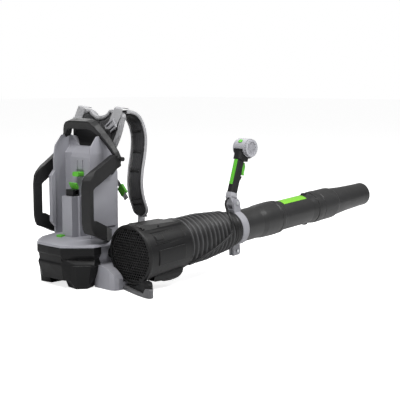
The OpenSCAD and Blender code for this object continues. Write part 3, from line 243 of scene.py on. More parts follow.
def mesh_cloth(name, rgb, cell=0.0026, rough=0.9, lift=1.7):
    """Spacer mesh: small open cells over darker foam, with sheen and a soft tone change."""
    m, nt, b = start(name)
    obj = object_coords(nt)
    hole = ranged(nt, cells_node(nt, obj, cell, 0.35), 0.18, 0.42, 1, 0)
    tone = noise_node(nt, obj, 14, 5, 0.6)
    lint = noise_node(nt, obj, 420, 2)
    base = toned(nt, tone, rgb, 0.82, 1.2)
    base = blended(nt, ranged(nt, lint, 0.55, 0.75, 0, 0.5), base, tinted(rgb, lift))
    base = blended(nt, maths(nt, "MULTIPLY", hole, 0.75), base, tinted(rgb, 0.3))
    nt.links.new(base, b.inputs["Base Color"])
    nt.links.new(ranged(nt, tone, 0.3, 0.7, rough - 0.06, rough + 0.05), b.inputs["Roughness"])
    preset(b, Sheen_Weight=0.35, Sheen_Roughness=0.5, Specular_IOR_Level=0.2)
    height = maths(nt, "ADD", hole, maths(nt, "MULTIPLY", lint, 0.3))
    bumped(nt, b, height, 0.8, 0.0009, invert=True)
    return m


def woven(name, rgb, pitch=0.0022, rough=0.8):
    """Webbing woven along its UVs (metres across, metres along): ribs and zigzag picks."""
    m, nt, b = start(name)
    uv = node(nt, "ShaderNodeUVMap", uv_map="weave").outputs["UV"]
    sep = node(nt, "ShaderNodeSeparateXYZ")
    nt.links.new(uv, sep.inputs[0])
    k = 2 * math.pi / pitch
    along = maths(nt, "SINE", maths(nt, "MULTIPLY", sep.outputs["Y"], k))
    swayed = maths(nt, "ADD", sep.outputs["X"], maths(nt, "MULTIPLY", along, pitch * 0.16))
    zigzag = maths(nt, "SINE", maths(nt, "MULTIPLY", swayed, k * 0.62))
    weave = maths(nt, "MULTIPLY", along, zigzag)
    obj = object_coords(nt)
    tone = noise_node(nt, obj, 22, 4)
    fibre = noise_node(nt, obj, 900, 2)
    base = toned(nt, tone, rgb, 0.88, 1.1)
    base = blended(nt, ranged(nt, weave, -1, 1, 0.42, 0), base, tinted(rgb, 0.45))
    base = blended(nt, ranged(nt, fibre, 0.5, 0.75, 0, 0.35), base, tinted(rgb, 1.35))
    nt.links.new(base, b.inputs["Base Color"])
    nt.links.new(ranged(nt, fibre, 0.3, 0.7, rough - 0.08, rough + 0.08), b.inputs["Roughness"])
    preset(b, Sheen_Weight=0.25, Specular_IOR_Level=0.3)
    bumped(nt, b, maths(nt, "ADD", weave, maths(nt, "MULTIPLY", fibre, 0.6)), 0.7, 0.0007)
    return m


def metal(name, rgb, rough=0.32):
    """Bare metal with fine scratches drawn out along Z."""
    m, nt, b = start(name)
    obj = object_coords(nt)
    stretch = node(nt, "ShaderNodeMapping")
    preset(stretch, Scale=(1, 1, 0.08))
    nt.links.new(obj, stretch.inputs["Vector"])
    fine = noise_node(nt, stretch.outputs["Vector"], 1560, 3)
    tone = noise_node(nt, obj, 40, 4)
    nt.links.new(toned(nt, tone, rgb, 0.8, 1.1), b.inputs["Base Color"])
    preset(b, Metallic=1)
    nt.links.new(ranged(nt, fine, 0.3, 0.7, rough - 0.1, rough + 0.14), b.inputs["Roughness"])
    bumped(nt, b, fine, 0.15, 0.0002)
    return m


DUST = (0.42, 0.4, 0.37)    # its colour, on faces that look up
M = {
    "grey": plastic("grey_moulded", (0.285, 0.285, 0.315), 0.42, worn=(0.5, 0.5, 0.53),
                    dust=0.12, edge=0.0022),
    "grey_fine": plastic("grey_fine", (0.27, 0.27, 0.295), 0.45, worn=(0.48, 0.48, 0.5),
                         edge=0.0009),
    "black": plastic("black_moulded", (0.0085, 0.0085, 0.009), 0.4, worn=(0.09, 0.09, 0.09),
                     dust=0.03, edge=0.0014, spec=0.26),
    "battery": plastic("battery_moulded", (0.0075, 0.0075, 0.008), 0.4, worn=(0.09, 0.09, 0.09),
                       edge=0.003, spec=0.16),
    "dark": plastic("tube_moulded", (0.022, 0.022, 0.0225), 0.34, worn=(0.1, 0.1, 0.1),
                    dust=0.03, edge=0.0006, grain=900, spec=0.42),
    "deep": plastic("inner_moulded", (0.006, 0.006, 0.0065), 0.6, edge=0.0006, spec=0.25),
    "soft": rubber("soft_overmould", (0.011, 0.011, 0.0115), 0.5, edge=0.0035),
    "grip": rubber("grip_overmould", (0.007, 0.007, 0.0075), 0.6, 0.0012, 0.7, 0.0015),
    # the last colour is the paler rib tops: painted highlight, partly wear
    "hose": rubber("hose_rubber", (0.005, 0.005, 0.0055), 0.5, 0.0022, 0.12, 0.0005, 0.4,
                   (0.085, 0.085, 0.088)),
    "foot": plastic("foot_moulded", (0.085, 0.085, 0.09), 0.4, worn=(0.2, 0.2, 0.2), dust=0.1,
                    edge=0.003),
    "light": plastic("light_moulded", (0.36, 0.36, 0.385), 0.42, worn=(0.55, 0.55, 0.57),
                     edge=0.001),
    "cable": rubber("cable_sheath", (0.005, 0.005, 0.0055), 0.36, 0.0012, 0.1, 0.0005),
    "green": plastic("green_moulded", (0.105, 0.47, 0.03), 0.34, worn=(0.35, 0.7, 0.2), coat=0.15,
                     edge=0.0008),
    "label": plastic("label_film", (0.2, 0.56, 0.035), 0.3, grain=600, bump=0.05, coat=0.3,
                     edge=0.0002),
    "steel": metal("zinc_steel", (0.62, 0.63, 0.65)),
    "copper": metal("bare_copper", (0.72, 0.4, 0.2), 0.35),
    "board": plastic("circuit_board", (0.03, 0.16, 0.06), 0.5, edge=0.0003),
    "mesh": mesh_cloth("spacer_mesh", (0.026, 0.026, 0.028)),
    "binding": woven("binding_tape", (0.44, 0.44, 0.455), 0.0016),
    "webbing": woven("grey_webbing", (0.5, 0.5, 0.515), 0.0026),
    "black_web": woven("black_webbing", (0.009, 0.009, 0.0095), 0.0024),
    "thread": woven("stitch_thread", (0.2, 0.2, 0.21), 0.0008),
    "buckle": plastic("buckle_moulded", (0.4, 0.4, 0.42), 0.4, worn=(0.6, 0.6, 0.62),
                      edge=0.0007),
}

DRESS = {
    "grey": ["base_housing", "deck_cover", "rear_shell", "back_plate"],
    "grey_fine": ["clamp_ring", "controller_box"],
    "light": ["knuckle", "head_housing", "speed_dial"],
    "foot": ["side_foot"],
    "black": ["fan_housing", "grille_rim", "support_bracket", "grip_recess_panel",
              "charge_socket", "release_lever", "battery_terminals"],
    "battery": ["battery_case"],
    "deep": ["impeller", "motor_pod", "foot_pad", "motor_shaft", "fan_screws"],
    "dark": ["tube_1", "tube_2", "nozzle"],
    "soft": ["carry_frame", "left_side_handle", "right_side_handle"],
    "grip": ["grip"],
    "hose": ["hose_cuff", "hose_middle", "hose_rear", "hose_front"],
    "green": ["release_button", "tower_button", "socket_cover", "boost_button", "trigger",
              "grip_inlay", "sternum_buckle", "battery_cells"],
    "label": ["tube_label"],
    "steel": ["case_screws", "motor_rotor", "shaft_bearings", "clamp_bolt", "knuckle_pin"],
    "buckle": ["ladder_buckles"],
    "copper": ["motor_stator"],
    "board": ["control_board"],
}
for key, names in DRESS.items():
    for n in names:
        slots = nodes[n].data.materials
        if len(slots):
            for i in range(len(slots)):
                slots[i] = M[key]
        else:
            slots.append(M[key])


# ------------------------------------------------------------ mesh helpers
def smooth(me):
    me.polygons.foreach_set("use_smooth", [True] * len(me.polygons))


def make(name, verts, faces, material, body=None, uvs=None):
    me = bpy.data.meshes.new(name)
    me.from_pydata([tuple(v) for v in verts], [], faces)
    me.update()
    smooth(me)
    if uvs:
        layer = me.uv_layers.new(name="weave")
        for loop in me.loops:
            layer.data[loop.index].uv = uvs[loop.vertex_index]
    me.materials.append(material)
    o = bpy.data.objects.new(name, me)
    scene.collection.objects.link(o)
    if body:
        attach(o, body)
    return o


def outward(o):
    bm = bmesh.new()
    bm.from_mesh(o.data)
    bmesh.ops.recalc_face_normals(bm, faces=bm.faces)
    bm.to_mesh(o.data)
    bm.free()
    return o


def skin(rings, k, closed=False):
    """Quads between neighbouring rings of k points; closed joins the last ring to the first."""
    return [(i * k + j, i * k + (j + 1) % k, (i + 1) % rings * k + (j + 1) % k,
             (i + 1) % rings * k + j) for i in range(rings if closed else rings - 1)
            for j in range(k)]


def caps(rings, k):
    """The two end faces of an open run of rings."""
    return [tuple(range(k - 1, -1, -1)), tuple(range((rings - 1) * k, rings * k))]


def spline(points, step):
    """Smooth curve through the points (Catmull-Rom), in even steps of about step."""
    p = [Vector(q) for q in points]
    p = [2 * p[0] - p[1]] + p + [2 * p[-1] - p[-2]]
    fine = []
    parts = 24
    for i in range(1, len(p) - 2):
        a, b, c, d = p[i - 1:i + 3]
        for k in range(parts):
            t = k / parts
            fine.append(0.5 * ((2 * b) + (c - a) * t + (2 * a - 5 * b + 4 * c - d) * t * t
                               + (3 * b - a - 3 * c + d) * t ** 3))
    fine.append(p[-2].copy())
    lengths = [0]
    for a, b in zip(fine, fine[1:]):
        lengths.append(lengths[-1] + (b - a).length)
    n = max(2, round(lengths[-1] / step))
    out, j = [], 0
    for i in range(n + 1):
        want = lengths[-1] * i / n
        while j < len(fine) - 2 and lengths[j + 1] < want:
            j += 1
        f = (want - lengths[j]) / max(1e-9, lengths[j + 1] - lengths[j])
        out.append(fine[j].lerp(fine[j + 1], f))
    return out


class Path:
    """A curve in mm with its tangent, side and normal; the normal starts out facing -X."""

    def __init__(self, points, side, step=4.0):
        self.c = spline(points, step)
        last = len(self.c) - 1
        self.t = [(self.c[min(last, i + 1)] - self.c[max(0, i - 1)]).normalized()
                  for i in range(last + 1)]
        side = Vector(side)
        self.s = [(side - t * side.dot(t)).normalized() for t in self.t]
        self.n = [s.cross(t) for s, t in zip(self.s, self.t)]
        if self.n[0].x > 0:
            self.n = [-n for n in self.n]
        self.l = [0.0]
        for a, b in zip(self.c, self.c[1:]):
            self.l.append(self.l[-1] + (b - a).length)

    def at(self, l, u=0.0, w=0.0):
        """Point in metres at length l, u to the side and w along the normal, all in mm."""
        total = self.l[-1]
        if l <= 0:
            i, f, extra = 0, 0.0, l
        elif l >= total:
            i, f, extra = len(self.c) - 2, 1.0, l - total
        else:
            i = min(len(self.c) - 2, int(l / total * (len(self.c) - 1)))
            f, extra = (l - self.l[i]) / (self.l[i + 1] - self.l[i]), 0.0
        c = self.c[i].lerp(self.c[i + 1], f)
        s = self.s[i].lerp(self.s[i + 1], f)
        n = self.n[i].lerp(self.n[i + 1], f)
        t = self.t[i].lerp(self.t[i + 1], f)
        return (c + t * extra + s * u + n * w) * MM


def ribbon(name, path, width, thick, material, body, l0=0.0, l1=None, off=0.0, ripple=0.0):
    """Flat woven strap with rounded selvages along a Path, off mm above it."""
    l1 = path.l[-1] if l1 is None else l1
    n = max(2, round((l1 - l0) / 3.0))
    half, h = width / 2, thick / 2
    sect = [(-half, 0), (-half + 0.5, h * 0.8), (-half + 1.4, h), (-half * 0.4, h * 0.94),
            (half * 0.4, h * 0.94), (half - 1.4, h), (half - 0.5, h * 0.8), (half, 0),
            (half - 0.5, -h * 0.8), (half - 1.4, -h), (half * 0.4, -h * 0.94),
            (-half * 0.4, -h * 0.94), (-half + 1.4, -h), (-half + 0.5, -h * 0.8)]
    verts, uvs = [], []
    for i in range(n + 1):
        l = l0 + (l1 - l0) * i / n
        wave = ripple * math.sin(l * 0.21) * math.sin(l * 0.067 + 1)
        for u, w in sect:
            verts.append(path.at(l, u, off + w + wave * (u / half) ** 2))
            uvs.append((u * MM, l * MM))
    k = len(sect)
    faces = skin(n + 1, k) + caps(n + 1, k)
    return outward(make(name, verts, faces, material, body, uvs=uvs))


def tube_along(name, points, radii, material, body=None, sides=12):
    """Round or oval tube through points in metres; radii are (towards Z, sideways)."""
    n = len(points)
    verts, uvs, run = [], [], 0.0
    ra, rb = radii
    prev = None
    for i, p in enumerate(points):
        t = (points[min(n - 1, i + 1)] - points[max(0, i - 1)]).normalized()
        if prev is None:
            prev = Vector((0, 0, 1))
            if abs(t.dot(prev)) > 0.95:
                prev = Vector((1, 0, 0))
        else:
            run += (p - points[i - 1]).length
        s = (prev - t * prev.dot(t)).normalized()
        prev = s
        q = t.cross(s)
        for j in range(sides):
            a = 2 * math.pi * j / sides
            verts.append(p + s * (ra * math.cos(a)) + q * (rb * math.sin(a)))
            uvs.append((a * max(ra, rb), run))
    faces = skin(n, sides) + caps(n, sides)
    return outward(make(name, verts, faces, material, body, uvs=uvs))


def apply_modifiers(o):
    dg = bpy.context.evaluated_depsgraph_get()
    me = bpy.data.meshes.new_from_object(o.evaluated_get(dg))
    o.modifiers.clear()
    old = o.data
    o.data = me
    bpy.data.meshes.remove(old)
    smooth(me)


PUFF_FRAMES = 20


def puff(o, voxel, cap):
    """Stuffed look: remesh, inflate as cloth, move no point further than cap, subdivide."""
    m = o.modifiers.new("remesh", "REMESH")
    m.mode = "VOXEL"
    m.voxel_size = voxel
    apply_modifiers(o)
    rest = [v.co.copy() for v in o.data.vertices]
    c = o.modifiers.new("cloth", "CLOTH")
    c.settings.use_pressure = True
    c.settings.uniform_pressure_force = 4.0
    c.settings.effector_weights.gravity = 0
    c.settings.quality = 4
    c.settings.tension_stiffness = 12
    c.settings.bending_stiffness = 1.2
    c.point_cache.frame_start = 1
    c.point_cache.frame_end = PUFF_FRAMES
    for f in range(1, PUFF_FRAMES + 1):
        scene.frame_set(f)
    dg = bpy.context.evaluated_depsgraph_get()
    soft = [v.co.copy() for v in o.evaluated_get(dg).data.vertices]
    o.modifiers.clear()
    scene.frame_set(1)
    for v, a, b in zip(o.data.vertices, rest, soft):
        d = b - a
        if d.length > cap:
            d *= cap / d.length
        v.co = a + d
    s = o.modifiers.new("smooth", "SUBSURF")
    s.levels = 1
    s.render_levels = 1
    apply_modifiers(o)
    return o


def dent(depth, away, width):
    """How much a sewn line pulls a cushion in, away mm from the line (1 is flat)."""
    return depth * math.exp(-(away / width) ** 2)


def loft(name, rings, material):
    """Closed loft through rings of equal count."""
    k = len(rings[0])
    verts = [p for r in rings for p in r]
    return outward(make(name, verts, skin(len(rings), k) + caps(len(rings), k), material))


def lathe(name, profile, material, sides):
    """Turned body about the duct's axis; profile is a closed loop of (s, r) in mm."""
    verts = [ring_point(s, r, 360 * j / sides) for j in range(sides) for s, r in profile]
    return outward(make(name, verts, skin(sides, len(profile), True), material))


STITCH_LONG, STITCH_WIDE, STITCH_GAP = 1.9, 0.55, 1.6   # mm


def stitches(name, points, lift):
    """A row of short raised thread segments along points in metres; lift points off the cloth."""
    pitch = (STITCH_LONG + STITCH_GAP) * MM
    marks = []
    carry = 0.0
    for a, b in zip(points, points[1:]):
        seg = (b - a).length
        pos = carry
        while pos < seg:
            marks.append((a.lerp(b, pos / seg), (b - a).normalized()))
            pos += pitch
        carry = pos - seg
    h, w = STITCH_LONG * MM / 2, STITCH_WIDE * MM / 2
    up = lift.normalized()
    verts, faces, uvs = [], [], []
    for p, t in marks:
        side = t.cross(lift).normalized()
        base = len(verts)
        for x, s, z in ((-h, -w, 0), (-h, w, 0), (h, w, 0), (h, -w, 0),
                        (-h * 0.6, 0, w * 1.6), (h * 0.6, 0, w * 1.6)):
            verts.append(p + t * x + side * s + up * z)
            uvs.append((x, s))
        faces += [(base, base + 1, base + 4), (base + 1, base + 2, base + 5, base + 4),
                  (base + 2, base + 3, base + 5), (base + 3, base, base + 4, base + 5)]
    return make(name, verts, faces, M["thread"], "backpack", uvs=uvs)


# ------------------------------------------------------------ control cable
# from the knuckle to the fan housing, in the duct's frame
CABLE = [(432, -5, 103), (422, -8, 101), (411, -13, 96), (400, -21, 88), (391, -33, 79),
         (384, -47, 67), (378, -62, 49), (374, -73, 28), (363, -78, 8), (335, -79.5, -7),
         (305, -79, -19), (275, -76.5, -31), (249, -71, -41), (224, -64, -51),
         (206, -58.5, -57.5), (190, -54, -60.5)]


def near(points, place):
    """Index of the point whose X comes nearest to that of place."""
    return min(range(len(points)), key=lambda i: abs(points[i].x - place.x))


CABLE_R = (3.5 * MM, 3.5 * MM)
cable_all = [duct(*p) for p in spline(CABLE, 4)]
# cut where the tube twists in its cuff and where the hose bends, into three runs
turn = near(cable_all, duct(394, 0, 82))
split = near(cable_all, duct(284, 0, 0))
tip_run, front_run, rear_run = cable_all[:turn + 1], cable_all[turn:split + 1], cable_all[split:]
cable_tip = tube_along("control_cable_tip", tip_run, CABLE_R, M["cable"])
cable_front = tube_along("control_cable_front", front_run, CABLE_R, M["cable"])
cable_rear = tube_along("control_cable_rear", rear_run, CABLE_R, M["cable"])
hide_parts("control_cable")
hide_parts("control_cable")
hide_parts("control_cable")
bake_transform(cable_tip)
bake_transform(cable_front)
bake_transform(cable_rear)


# ------------------------------------------------------------ hose
HOSE_START, HOSE_END = 186, 401.6   # mm along the duct
HOSE_R, HOSE_NARROWS = 77, 11       # radius over the ribs, and how much less at the cuff
HOSE_WALL = 1.7
RIB, RIB_PARTS = 19.6, 16           # pitch, and samples in one
RIB_DEPTH, VALLEY_DEPTH = 6.6, 1.2
# the third half width is the paler band on each crest: painted highlight, partly wear
CROWN, VALLEY, CREST_WEAR_AND_HIGHLIGHT = 0.19, 0.12, 0.13    # half widths, in pitches
TAPER = HOSE_START + 5.2 * RIB      # where the narrowing starts


def hose_r(s):
    return HOSE_R - HOSE_NARROWS * max(0.0, (s - TAPER) / (HOSE_END - TAPER))


def off_crown(s):
    """Distance from the nearest rib's crown, in rib pitches."""
    return abs(((s - HOSE_START) / RIB) % 1.0 - 0.5)


def hose_profile(s0, s1):
    """Ribbed wall between s0 and s1: out along the outside, back along the inside."""
    outer = []
    n = round((s1 - s0) / RIB * RIB_PARTS)
    for i in range(n + 1):
        s = s0 + (s1 - s0) * i / n
        x = off_crown(s)
        crown = math.exp(-(x / CROWN) ** 2.2)
        valley = VALLEY_DEPTH * math.exp(-((x - 0.5) / VALLEY) ** 2)
        outer.append((s, hose_r(s) - RIB_DEPTH * (1 - crown) - valley))
    inner = [(s, r - HOSE_WALL) for s, r in reversed(outer)]
    return outer + inner


hose_a = lathe("hose_rear_skin", hose_profile(186.2, 284.1), M["hose"], 128)
hose_b = lathe("hose_front_skin", hose_profile(284.1, 401.8), M["hose"], 128)
# rib_top marks the paler crests: painted highlight, partly wear
for o in (hose_a, hose_b):
    mark = o.data.attributes.new("rib_top", "FLOAT", "POINT")
    for v in o.data.vertices:
        mark.data[v.index].value = math.exp(-(off_crown(along_duct(v.co)) / CREST_WEAR_AND_HIGHLIGHT) ** 2)
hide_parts("hose_rear", "hose_middle")
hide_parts("hose_middle", "hose_front")
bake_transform(hose_a)
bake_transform(hose_b)


# ------------------------------------------------------------ intake grille
DOME = 2.2      # mm, how far the grille's middle stands out


def honeycomb(name, pitch, wall, r_max, s, depth):
    """Domed honeycomb disc with open cells and a closed rim; sizes in mm."""
    bm = bmesh.new()
    size = pitch / math.sqrt(3)

    def spot(y, z, back):
        r = math.hypot(y, z)
        k = min(1.0, (r_max - 0.2) / r) if r > 1e-6 else 1.0
        y, z = y * k, z * k
        dome = DOME * (1 - min(1.0, math.hypot(y, z) / r_max) ** 2)
        return bm.verts.new(duct(s - dome + back, y, z))

    cells = int(r_max / pitch) + 2
    for i in range(-cells, cells + 1):
        for j in range(-cells - 2, cells + 3):
            y = (i + (0.5 if j % 2 else 0)) * pitch
            z = j * pitch * math.sqrt(3) / 2
            r = math.hypot(y, z)
            if r > r_max + size * 0.9:
                continue
            open_cell = r < r_max - pitch * 0.62
            outer = [(y + size * math.sin(k * math.pi / 3), z + size * math.cos(k * math.pi / 3))
                     for k in range(6)]
            front = [spot(*p, 0) for p in outer]
            back = [spot(*p, depth) for p in outer]
            if open_cell:
                f = (size - wall / 1.7) / size
                inner = [(y + (p[0] - y) * f, z + (p[1] - z) * f) for p in outer]
                fi = [spot(*p, 0.25) for p in inner]
                bi = [spot(*p, depth) for p in inner]
                for k in range(6):
                    k2 = (k + 1) % 6
                    bm.faces.new((front[k], front[k2], fi[k2], fi[k]))
                    bm.faces.new((fi[k], fi[k2], bi[k2], bi[k]))
                    bm.faces.new((bi[k], bi[k2], back[k2], back[k]))
            else:
                bm.faces.new(front)
                bm.faces.new(list(reversed(back)))
    bmesh.ops.remove_doubles(bm, verts=bm.verts, dist=0.00012)
    bmesh.ops.dissolve_degenerate(bm, dist=0.00005, edges=bm.edges)
    bmesh.ops.recalc_face_normals(bm, faces=bm.faces)
    me = bpy.data.meshes.new(name)
    bm.to_mesh(me)
    bm.free()
    me.materials.append(M["black"])
    o = bpy.data.objects.new(name, me)
    scene.collection.objects.link(o)
    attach(o, "backpack")
    return o


grille = honeycomb("intake_honeycomb", 9.4, 2.1, 84.4, 5.0, 3.0)
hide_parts("intake_grille")


# ------------------------------------------------------------ housing details
def housing_r(s):
    """Radius of the fan housing, s mm along the duct: 86 mm at 14, 80 mm at 178."""
    return 86 - 6 * (s - 14) / 164


def patch(name, s0, s1, a0, a1, base, rise):
    """Raised panel on the fan housing from s0 to s1 mm and a0 to a1 degrees round it."""
    corner, margin, mean_r = 4.0, 2.2, 84

    def wall(s):
        return housing_r(s) + base

    ds, arc = (s1 - s0) / 2, math.radians(a1 - a0) / 2 * mean_r
    mid_s, mid_a = (s0 + s1) / 2, (a0 + a1) / 2
    rings = []
    for level, inwards in ((-0.6, 0), (rise * 0.55, 0.4), (rise * 0.92, 1.1), (rise, margin)):
        ring = []
        for q, (sx, sy) in enumerate(((1, 1), (-1, 1), (-1, -1), (1, -1))):
            for k in range(7):
                a = math.radians(90 * q + 15 * k)
                x = sx * (ds - corner) + (corner - inwards) * math.cos(a)
                y = sy * (arc - corner) + (corner - inwards) * math.sin(a)
                s = mid_s + x
                ring.append(ring_point(s, wall(s) + level, mid_a + math.degrees(y / mean_r)))
        rings.append(ring)
    verts = [p for r in rings for p in r]
    faces = skin(len(rings), len(rings[0]))
    # the top is a grid that follows the round wall
    n = 16
    b0 = len(verts)
    lim = corner - margin
    for i in range(n + 1):
        for j in range(n + 1):
            x = (2 * i / n - 1) * (ds - margin)
            y = (2 * j / n - 1) * (arc - margin)
            ex, ey = abs(x) - (ds - corner), abs(y) - (arc - corner)
            if ex > 0 and ey > 0:
                d = math.hypot(ex, ey)
                if d > lim:
                    x = math.copysign(ds - corner + ex * lim / d, x)
                    y = math.copysign(arc - corner + ey * lim / d, y)
            s = mid_s + x
            verts.append(ring_point(s, wall(s) + rise, mid_a + math.degrees(y / mean_r)))
    faces += [(b0 + i * (n + 1) + j, b0 + i * (n + 1) + j + 1, b0 + (i + 1) * (n + 1) + j + 1,
               b0 + (i + 1) * (n + 1) + j) for i in range(n) for j in range(n)]
    return outward(make(name, verts, faces, M["black"], "backpack"))


patch("latch_panel", 40, 162, 43.5, 64.5, 0.2, 1.8)
patch("latch_tab", 42, 74, 47.5, 60.5, 1.9, 2.4)


def slab(name, corners, material, body, bevel):
    """Eight-cornered block with rounded edges; corners are bottom ring then top ring."""
    o = make(name, corners, [(3, 2, 1, 0), (4, 5, 6, 7), (0, 1, 5, 4), (1, 2, 6, 5), (2, 3, 7, 6),
                             (3, 0, 4, 7)], material, body)
    outward(o)
    bv = o.modifiers.new("bevel", "BEVEL")
    bv.width = bevel * MM
    bv.segments = 2
    bv.harden_normals = False
    return o


# ------------------------------------------------------------ shoulder straps
# middle line of the right strap in mm, from the yoke down
STRAP = [(92.55, -86, 525), (106, -88, 523), (123, -91, 515), (137, -94, 500), (148, -96, 474),
         (153, -97, 446), (152, -97, 416), (147, -97, 384), (140, -97, 352), (136, -97, 320),
         (136, -97, 290), (141, -98, 260), (151, -99, 230), (162, -100, 199)]
STRAP_HALF, STRAP_TIP = 24.6, 24.0      # mm: half the width, length of the rounded end
STRAP_THICK, STRAP_SEAM = 4.6, 6.5      # mm: half the thickness, seam's way in from the edge
STRAP_BARS = [89, 155, 214, 306]        # where the cushion is sewn down, mm from the top


def strap_binding(tag, p, total):
    """Tape folded round the strap's edge, from the top down one side and up the other."""
    edge, top, steps = STRAP_HALF + 0.8, 2, 90
    neck = total - STRAP_TIP
    down = [top + (neck - top) * i / steps for i in range(steps + 1)]
    loop = [(l, edge) for l in down]
    for k in range(1, 24):
        a = math.pi / 2 * (1 - k / 12)
        loop.append((neck + (STRAP_TIP + 0.6) * math.cos(a), edge * math.sin(a)))
    loop += [(l, -edge) for l in reversed(down)]
    sect = [(-3.4, 4.9), (-1.6, 5.5), (0.6, 5.1), (1.9, 3.2), (2.3, 0), (1.9, -3.2), (0.6, -5.1),
            (-1.6, -5.5), (-3.4, -4.9), (-2.6, -3.6), (-0.6, 0), (-2.6, 3.6)]
    verts, uvs, run = [], [], 0.0
    for i, (l, u) in enumerate(loop):
        a = loop[max(0, i - 1)]
        b = loop[min(len(loop) - 1, i + 1)]
        dl, du = b[0] - a[0], b[1] - a[1]
        m = math.hypot(dl, du)
        nl, nu = -du / m, dl / m
        # the section's outer side faces away from the strap's middle
        if (nl * (l - (neck - 10)) + nu * u if abs(u) > 10 else nl) < 0:
            nl, nu = -nl, -nu
        run += m / 2
        for out, w in sect:
            verts.append(p.at(l + nl * out, u + nu * out, w))
            uvs.append((w * MM, run * MM))
    faces = skin(len(loop), len(sect)) + caps(len(loop), len(sect))
    outward(make(f"strap_binding_{tag}", verts, faces, M["binding"], "backpack",
                 uvs=uvs))


def strap(side):
    tag = "right" if side < 0 else "left"
    p = Path([(x, y if side < 0 else -y, z) for x, y, z in STRAP], (0.35, side, 0))
    total = p.l[-1]

    def half(l):
        x = l - (total - STRAP_TIP)
        if x <= 0:
            return STRAP_HALF
        return max(3.0, STRAP_HALF * math.sqrt(max(0.02, 1 - (x / STRAP_TIP) ** 2)))

    rings = []
    n = round(total / 5)
    for i in range(n + 1):
        l = total * i / n
        h = half(l)
        thick = STRAP_THICK * (1 if l > 14 else 0.75 + 0.25 * l / 14)
        ring = []
        for k in range(20):
            a = 2 * math.pi * k / 20
            cx, cy = math.cos(a), math.sin(a)
            ring.append(p.at(l, h * math.copysign(abs(cx) ** 0.55, cx),
                             thick * math.copysign(abs(cy) ** 0.8, cy)))
        rings.append(ring)
    pad = loft(f"strap_pad_{tag}", rings, M["mesh"])
    puff(pad, 0.0045, 0.0035)
    # sewn channels and the seam inside the binding
    tree = KDTree(len(p.c))
    for i, c in enumerate(p.c):
        tree.insert(c, i)
    tree.balance()
    for v in pad.data.vertices:
        q = v.co / MM
        _, i, _ = tree.find(q)
        d = q - p.c[i]
        l = p.l[i] + d.dot(p.t[i])
        u = d.dot(p.s[i])
        w = d.dot(p.n[i])
        pull = 0.0
        for bar in STRAP_BARS:
            pull = max(pull, dent(0.42, l - bar, 3.4) * (1 if abs(u) < 17 else 0.3))
        pull = max(pull, dent(0.34, abs(u) - (half(l) - STRAP_SEAM), 2.0))
        v.co -= p.n[i] * (w * pull * MM)
    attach(pad, "backpack")
    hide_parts(f"shoulder_strap_{tag}")
    strap_binding(tag, p, total)

    def tape(name, width, thick, material, l0, l1, off, ripple=0.0):
        ribbon(f"{name}_{tag}", p, width, thick, M[material], "backpack", l0, l1, off, ripple)

    def cross_bar(name, l0, l1, u, low, high0, high1, bevel):
        """Rounded bar across the strap from length l0 to l1, reaching u to either side."""
        foot = [(l0, -u), (l0, u), (l1, u), (l1, -u)]
        corners = [p.at(l, v, low) for l, v in foot]
        corners += [p.at(l, v, w) for (l, v), w in zip(foot, (high0, high0, high1, high1))]
        slab(name, corners, M["deep"], "backpack", bevel)

    # tapes sewn down both faces, keepers with bar tacks, and the adjuster at the lower end
    tape("strap_tape", 27, 1.4, "black_web", 20, 208, 5.9, 0.3)
    tape("strap_outer_tape", 27, 1.6, "webbing", 16, 316, -6.4, 0.3)
    for j, bar in enumerate(STRAP_BARS[:3]):
        tack = [p.at(bar, u, 6.9) for u in range(-13, 14, 2)]
        tube_along(f"bar_tack_{tag}_{j}", tack, (0.0009, 0.0016), M["black_web"], "backpack",
                   8)
        cross_bar(f"strap_keeper_{tag}_{j}", bar + 3, bar + 8, 15, 5.6, 8.0, 7.6, 0.9)
    cross_bar(f"adjuster_bar_{tag}", total - 46, total - 39, 16, 4.8, 8.0, 8.0, 1.0)
    tape("adjuster_tab", 25, 1.6, "webbing", total - 40, total - 31, 6.3)
    tape("adjuster_web", 26, 1.8, "webbing", total - 26, total + 8, -6.2)
    row = []
    for i in range(41):
        a = math.pi * i / 40
        row.append(p.at(total - 24 + 17 * math.sin(a), 17 * math.cos(a), 5.2))
    stitches(f"strap_stitch_{tag}", row, p.n[-8])


strap(-1)
strap(1)


# ------------------------------------------------------------ yoke
# (y, z) in mm along its left half, from the top's middle to the foot
YOKE = [(0, 513), (22, 516), (36, 523), (42, 530), (50, 533), (66, 534), (80, 532), (94, 528),
        (108, 522), (114, 513), (110, 500), (103, 478), (92, 452), (76, 424), (62, 404),
        (56, 384)]
YOKE_SEAM = 15.5        # mm from the edge
YOKE_MID = 81.2         # X of the cushion's middle plane


def even_line(points, step):
    """Smooth line through flat (y, z) points in mm, in even steps."""
    return [Vector((p.x, p.y)) for p in spline([(y, z, 0) for y, z in points], step)]


def yoke_outline(step):
    """The whole yoke's edge from the top's middle round; it first runs towards +Y."""
    loop = even_line(YOKE + [(-y, z) for y, z in reversed(YOKE[1:])], step)
    return loop if loop[1].x > loop[0].x else loop[::-1]


def edge_distance(q, loop):
    """Distance from q to the closed line, in mm."""
    best = 1e9
    for a, b in zip(loop, loop[1:] + loop[:1]):
        ab = b - a
        t = max(0, min(1, (q - a).dot(ab) / max(1e-9, ab.length_squared)))
        best = min(best, (q - a - ab * t).length)
    return best


def inset(loop, d):
    """The closed line moved inwards by d mm."""
    n = len(loop)
    out = []
    for i in range(n):
        a, b = loop[i - 1], loop[(i + 1) % n]
        t = (b - a).normalized()
        out.append(loop[i] + Vector((t.y, -t.x)) * d)
    return out


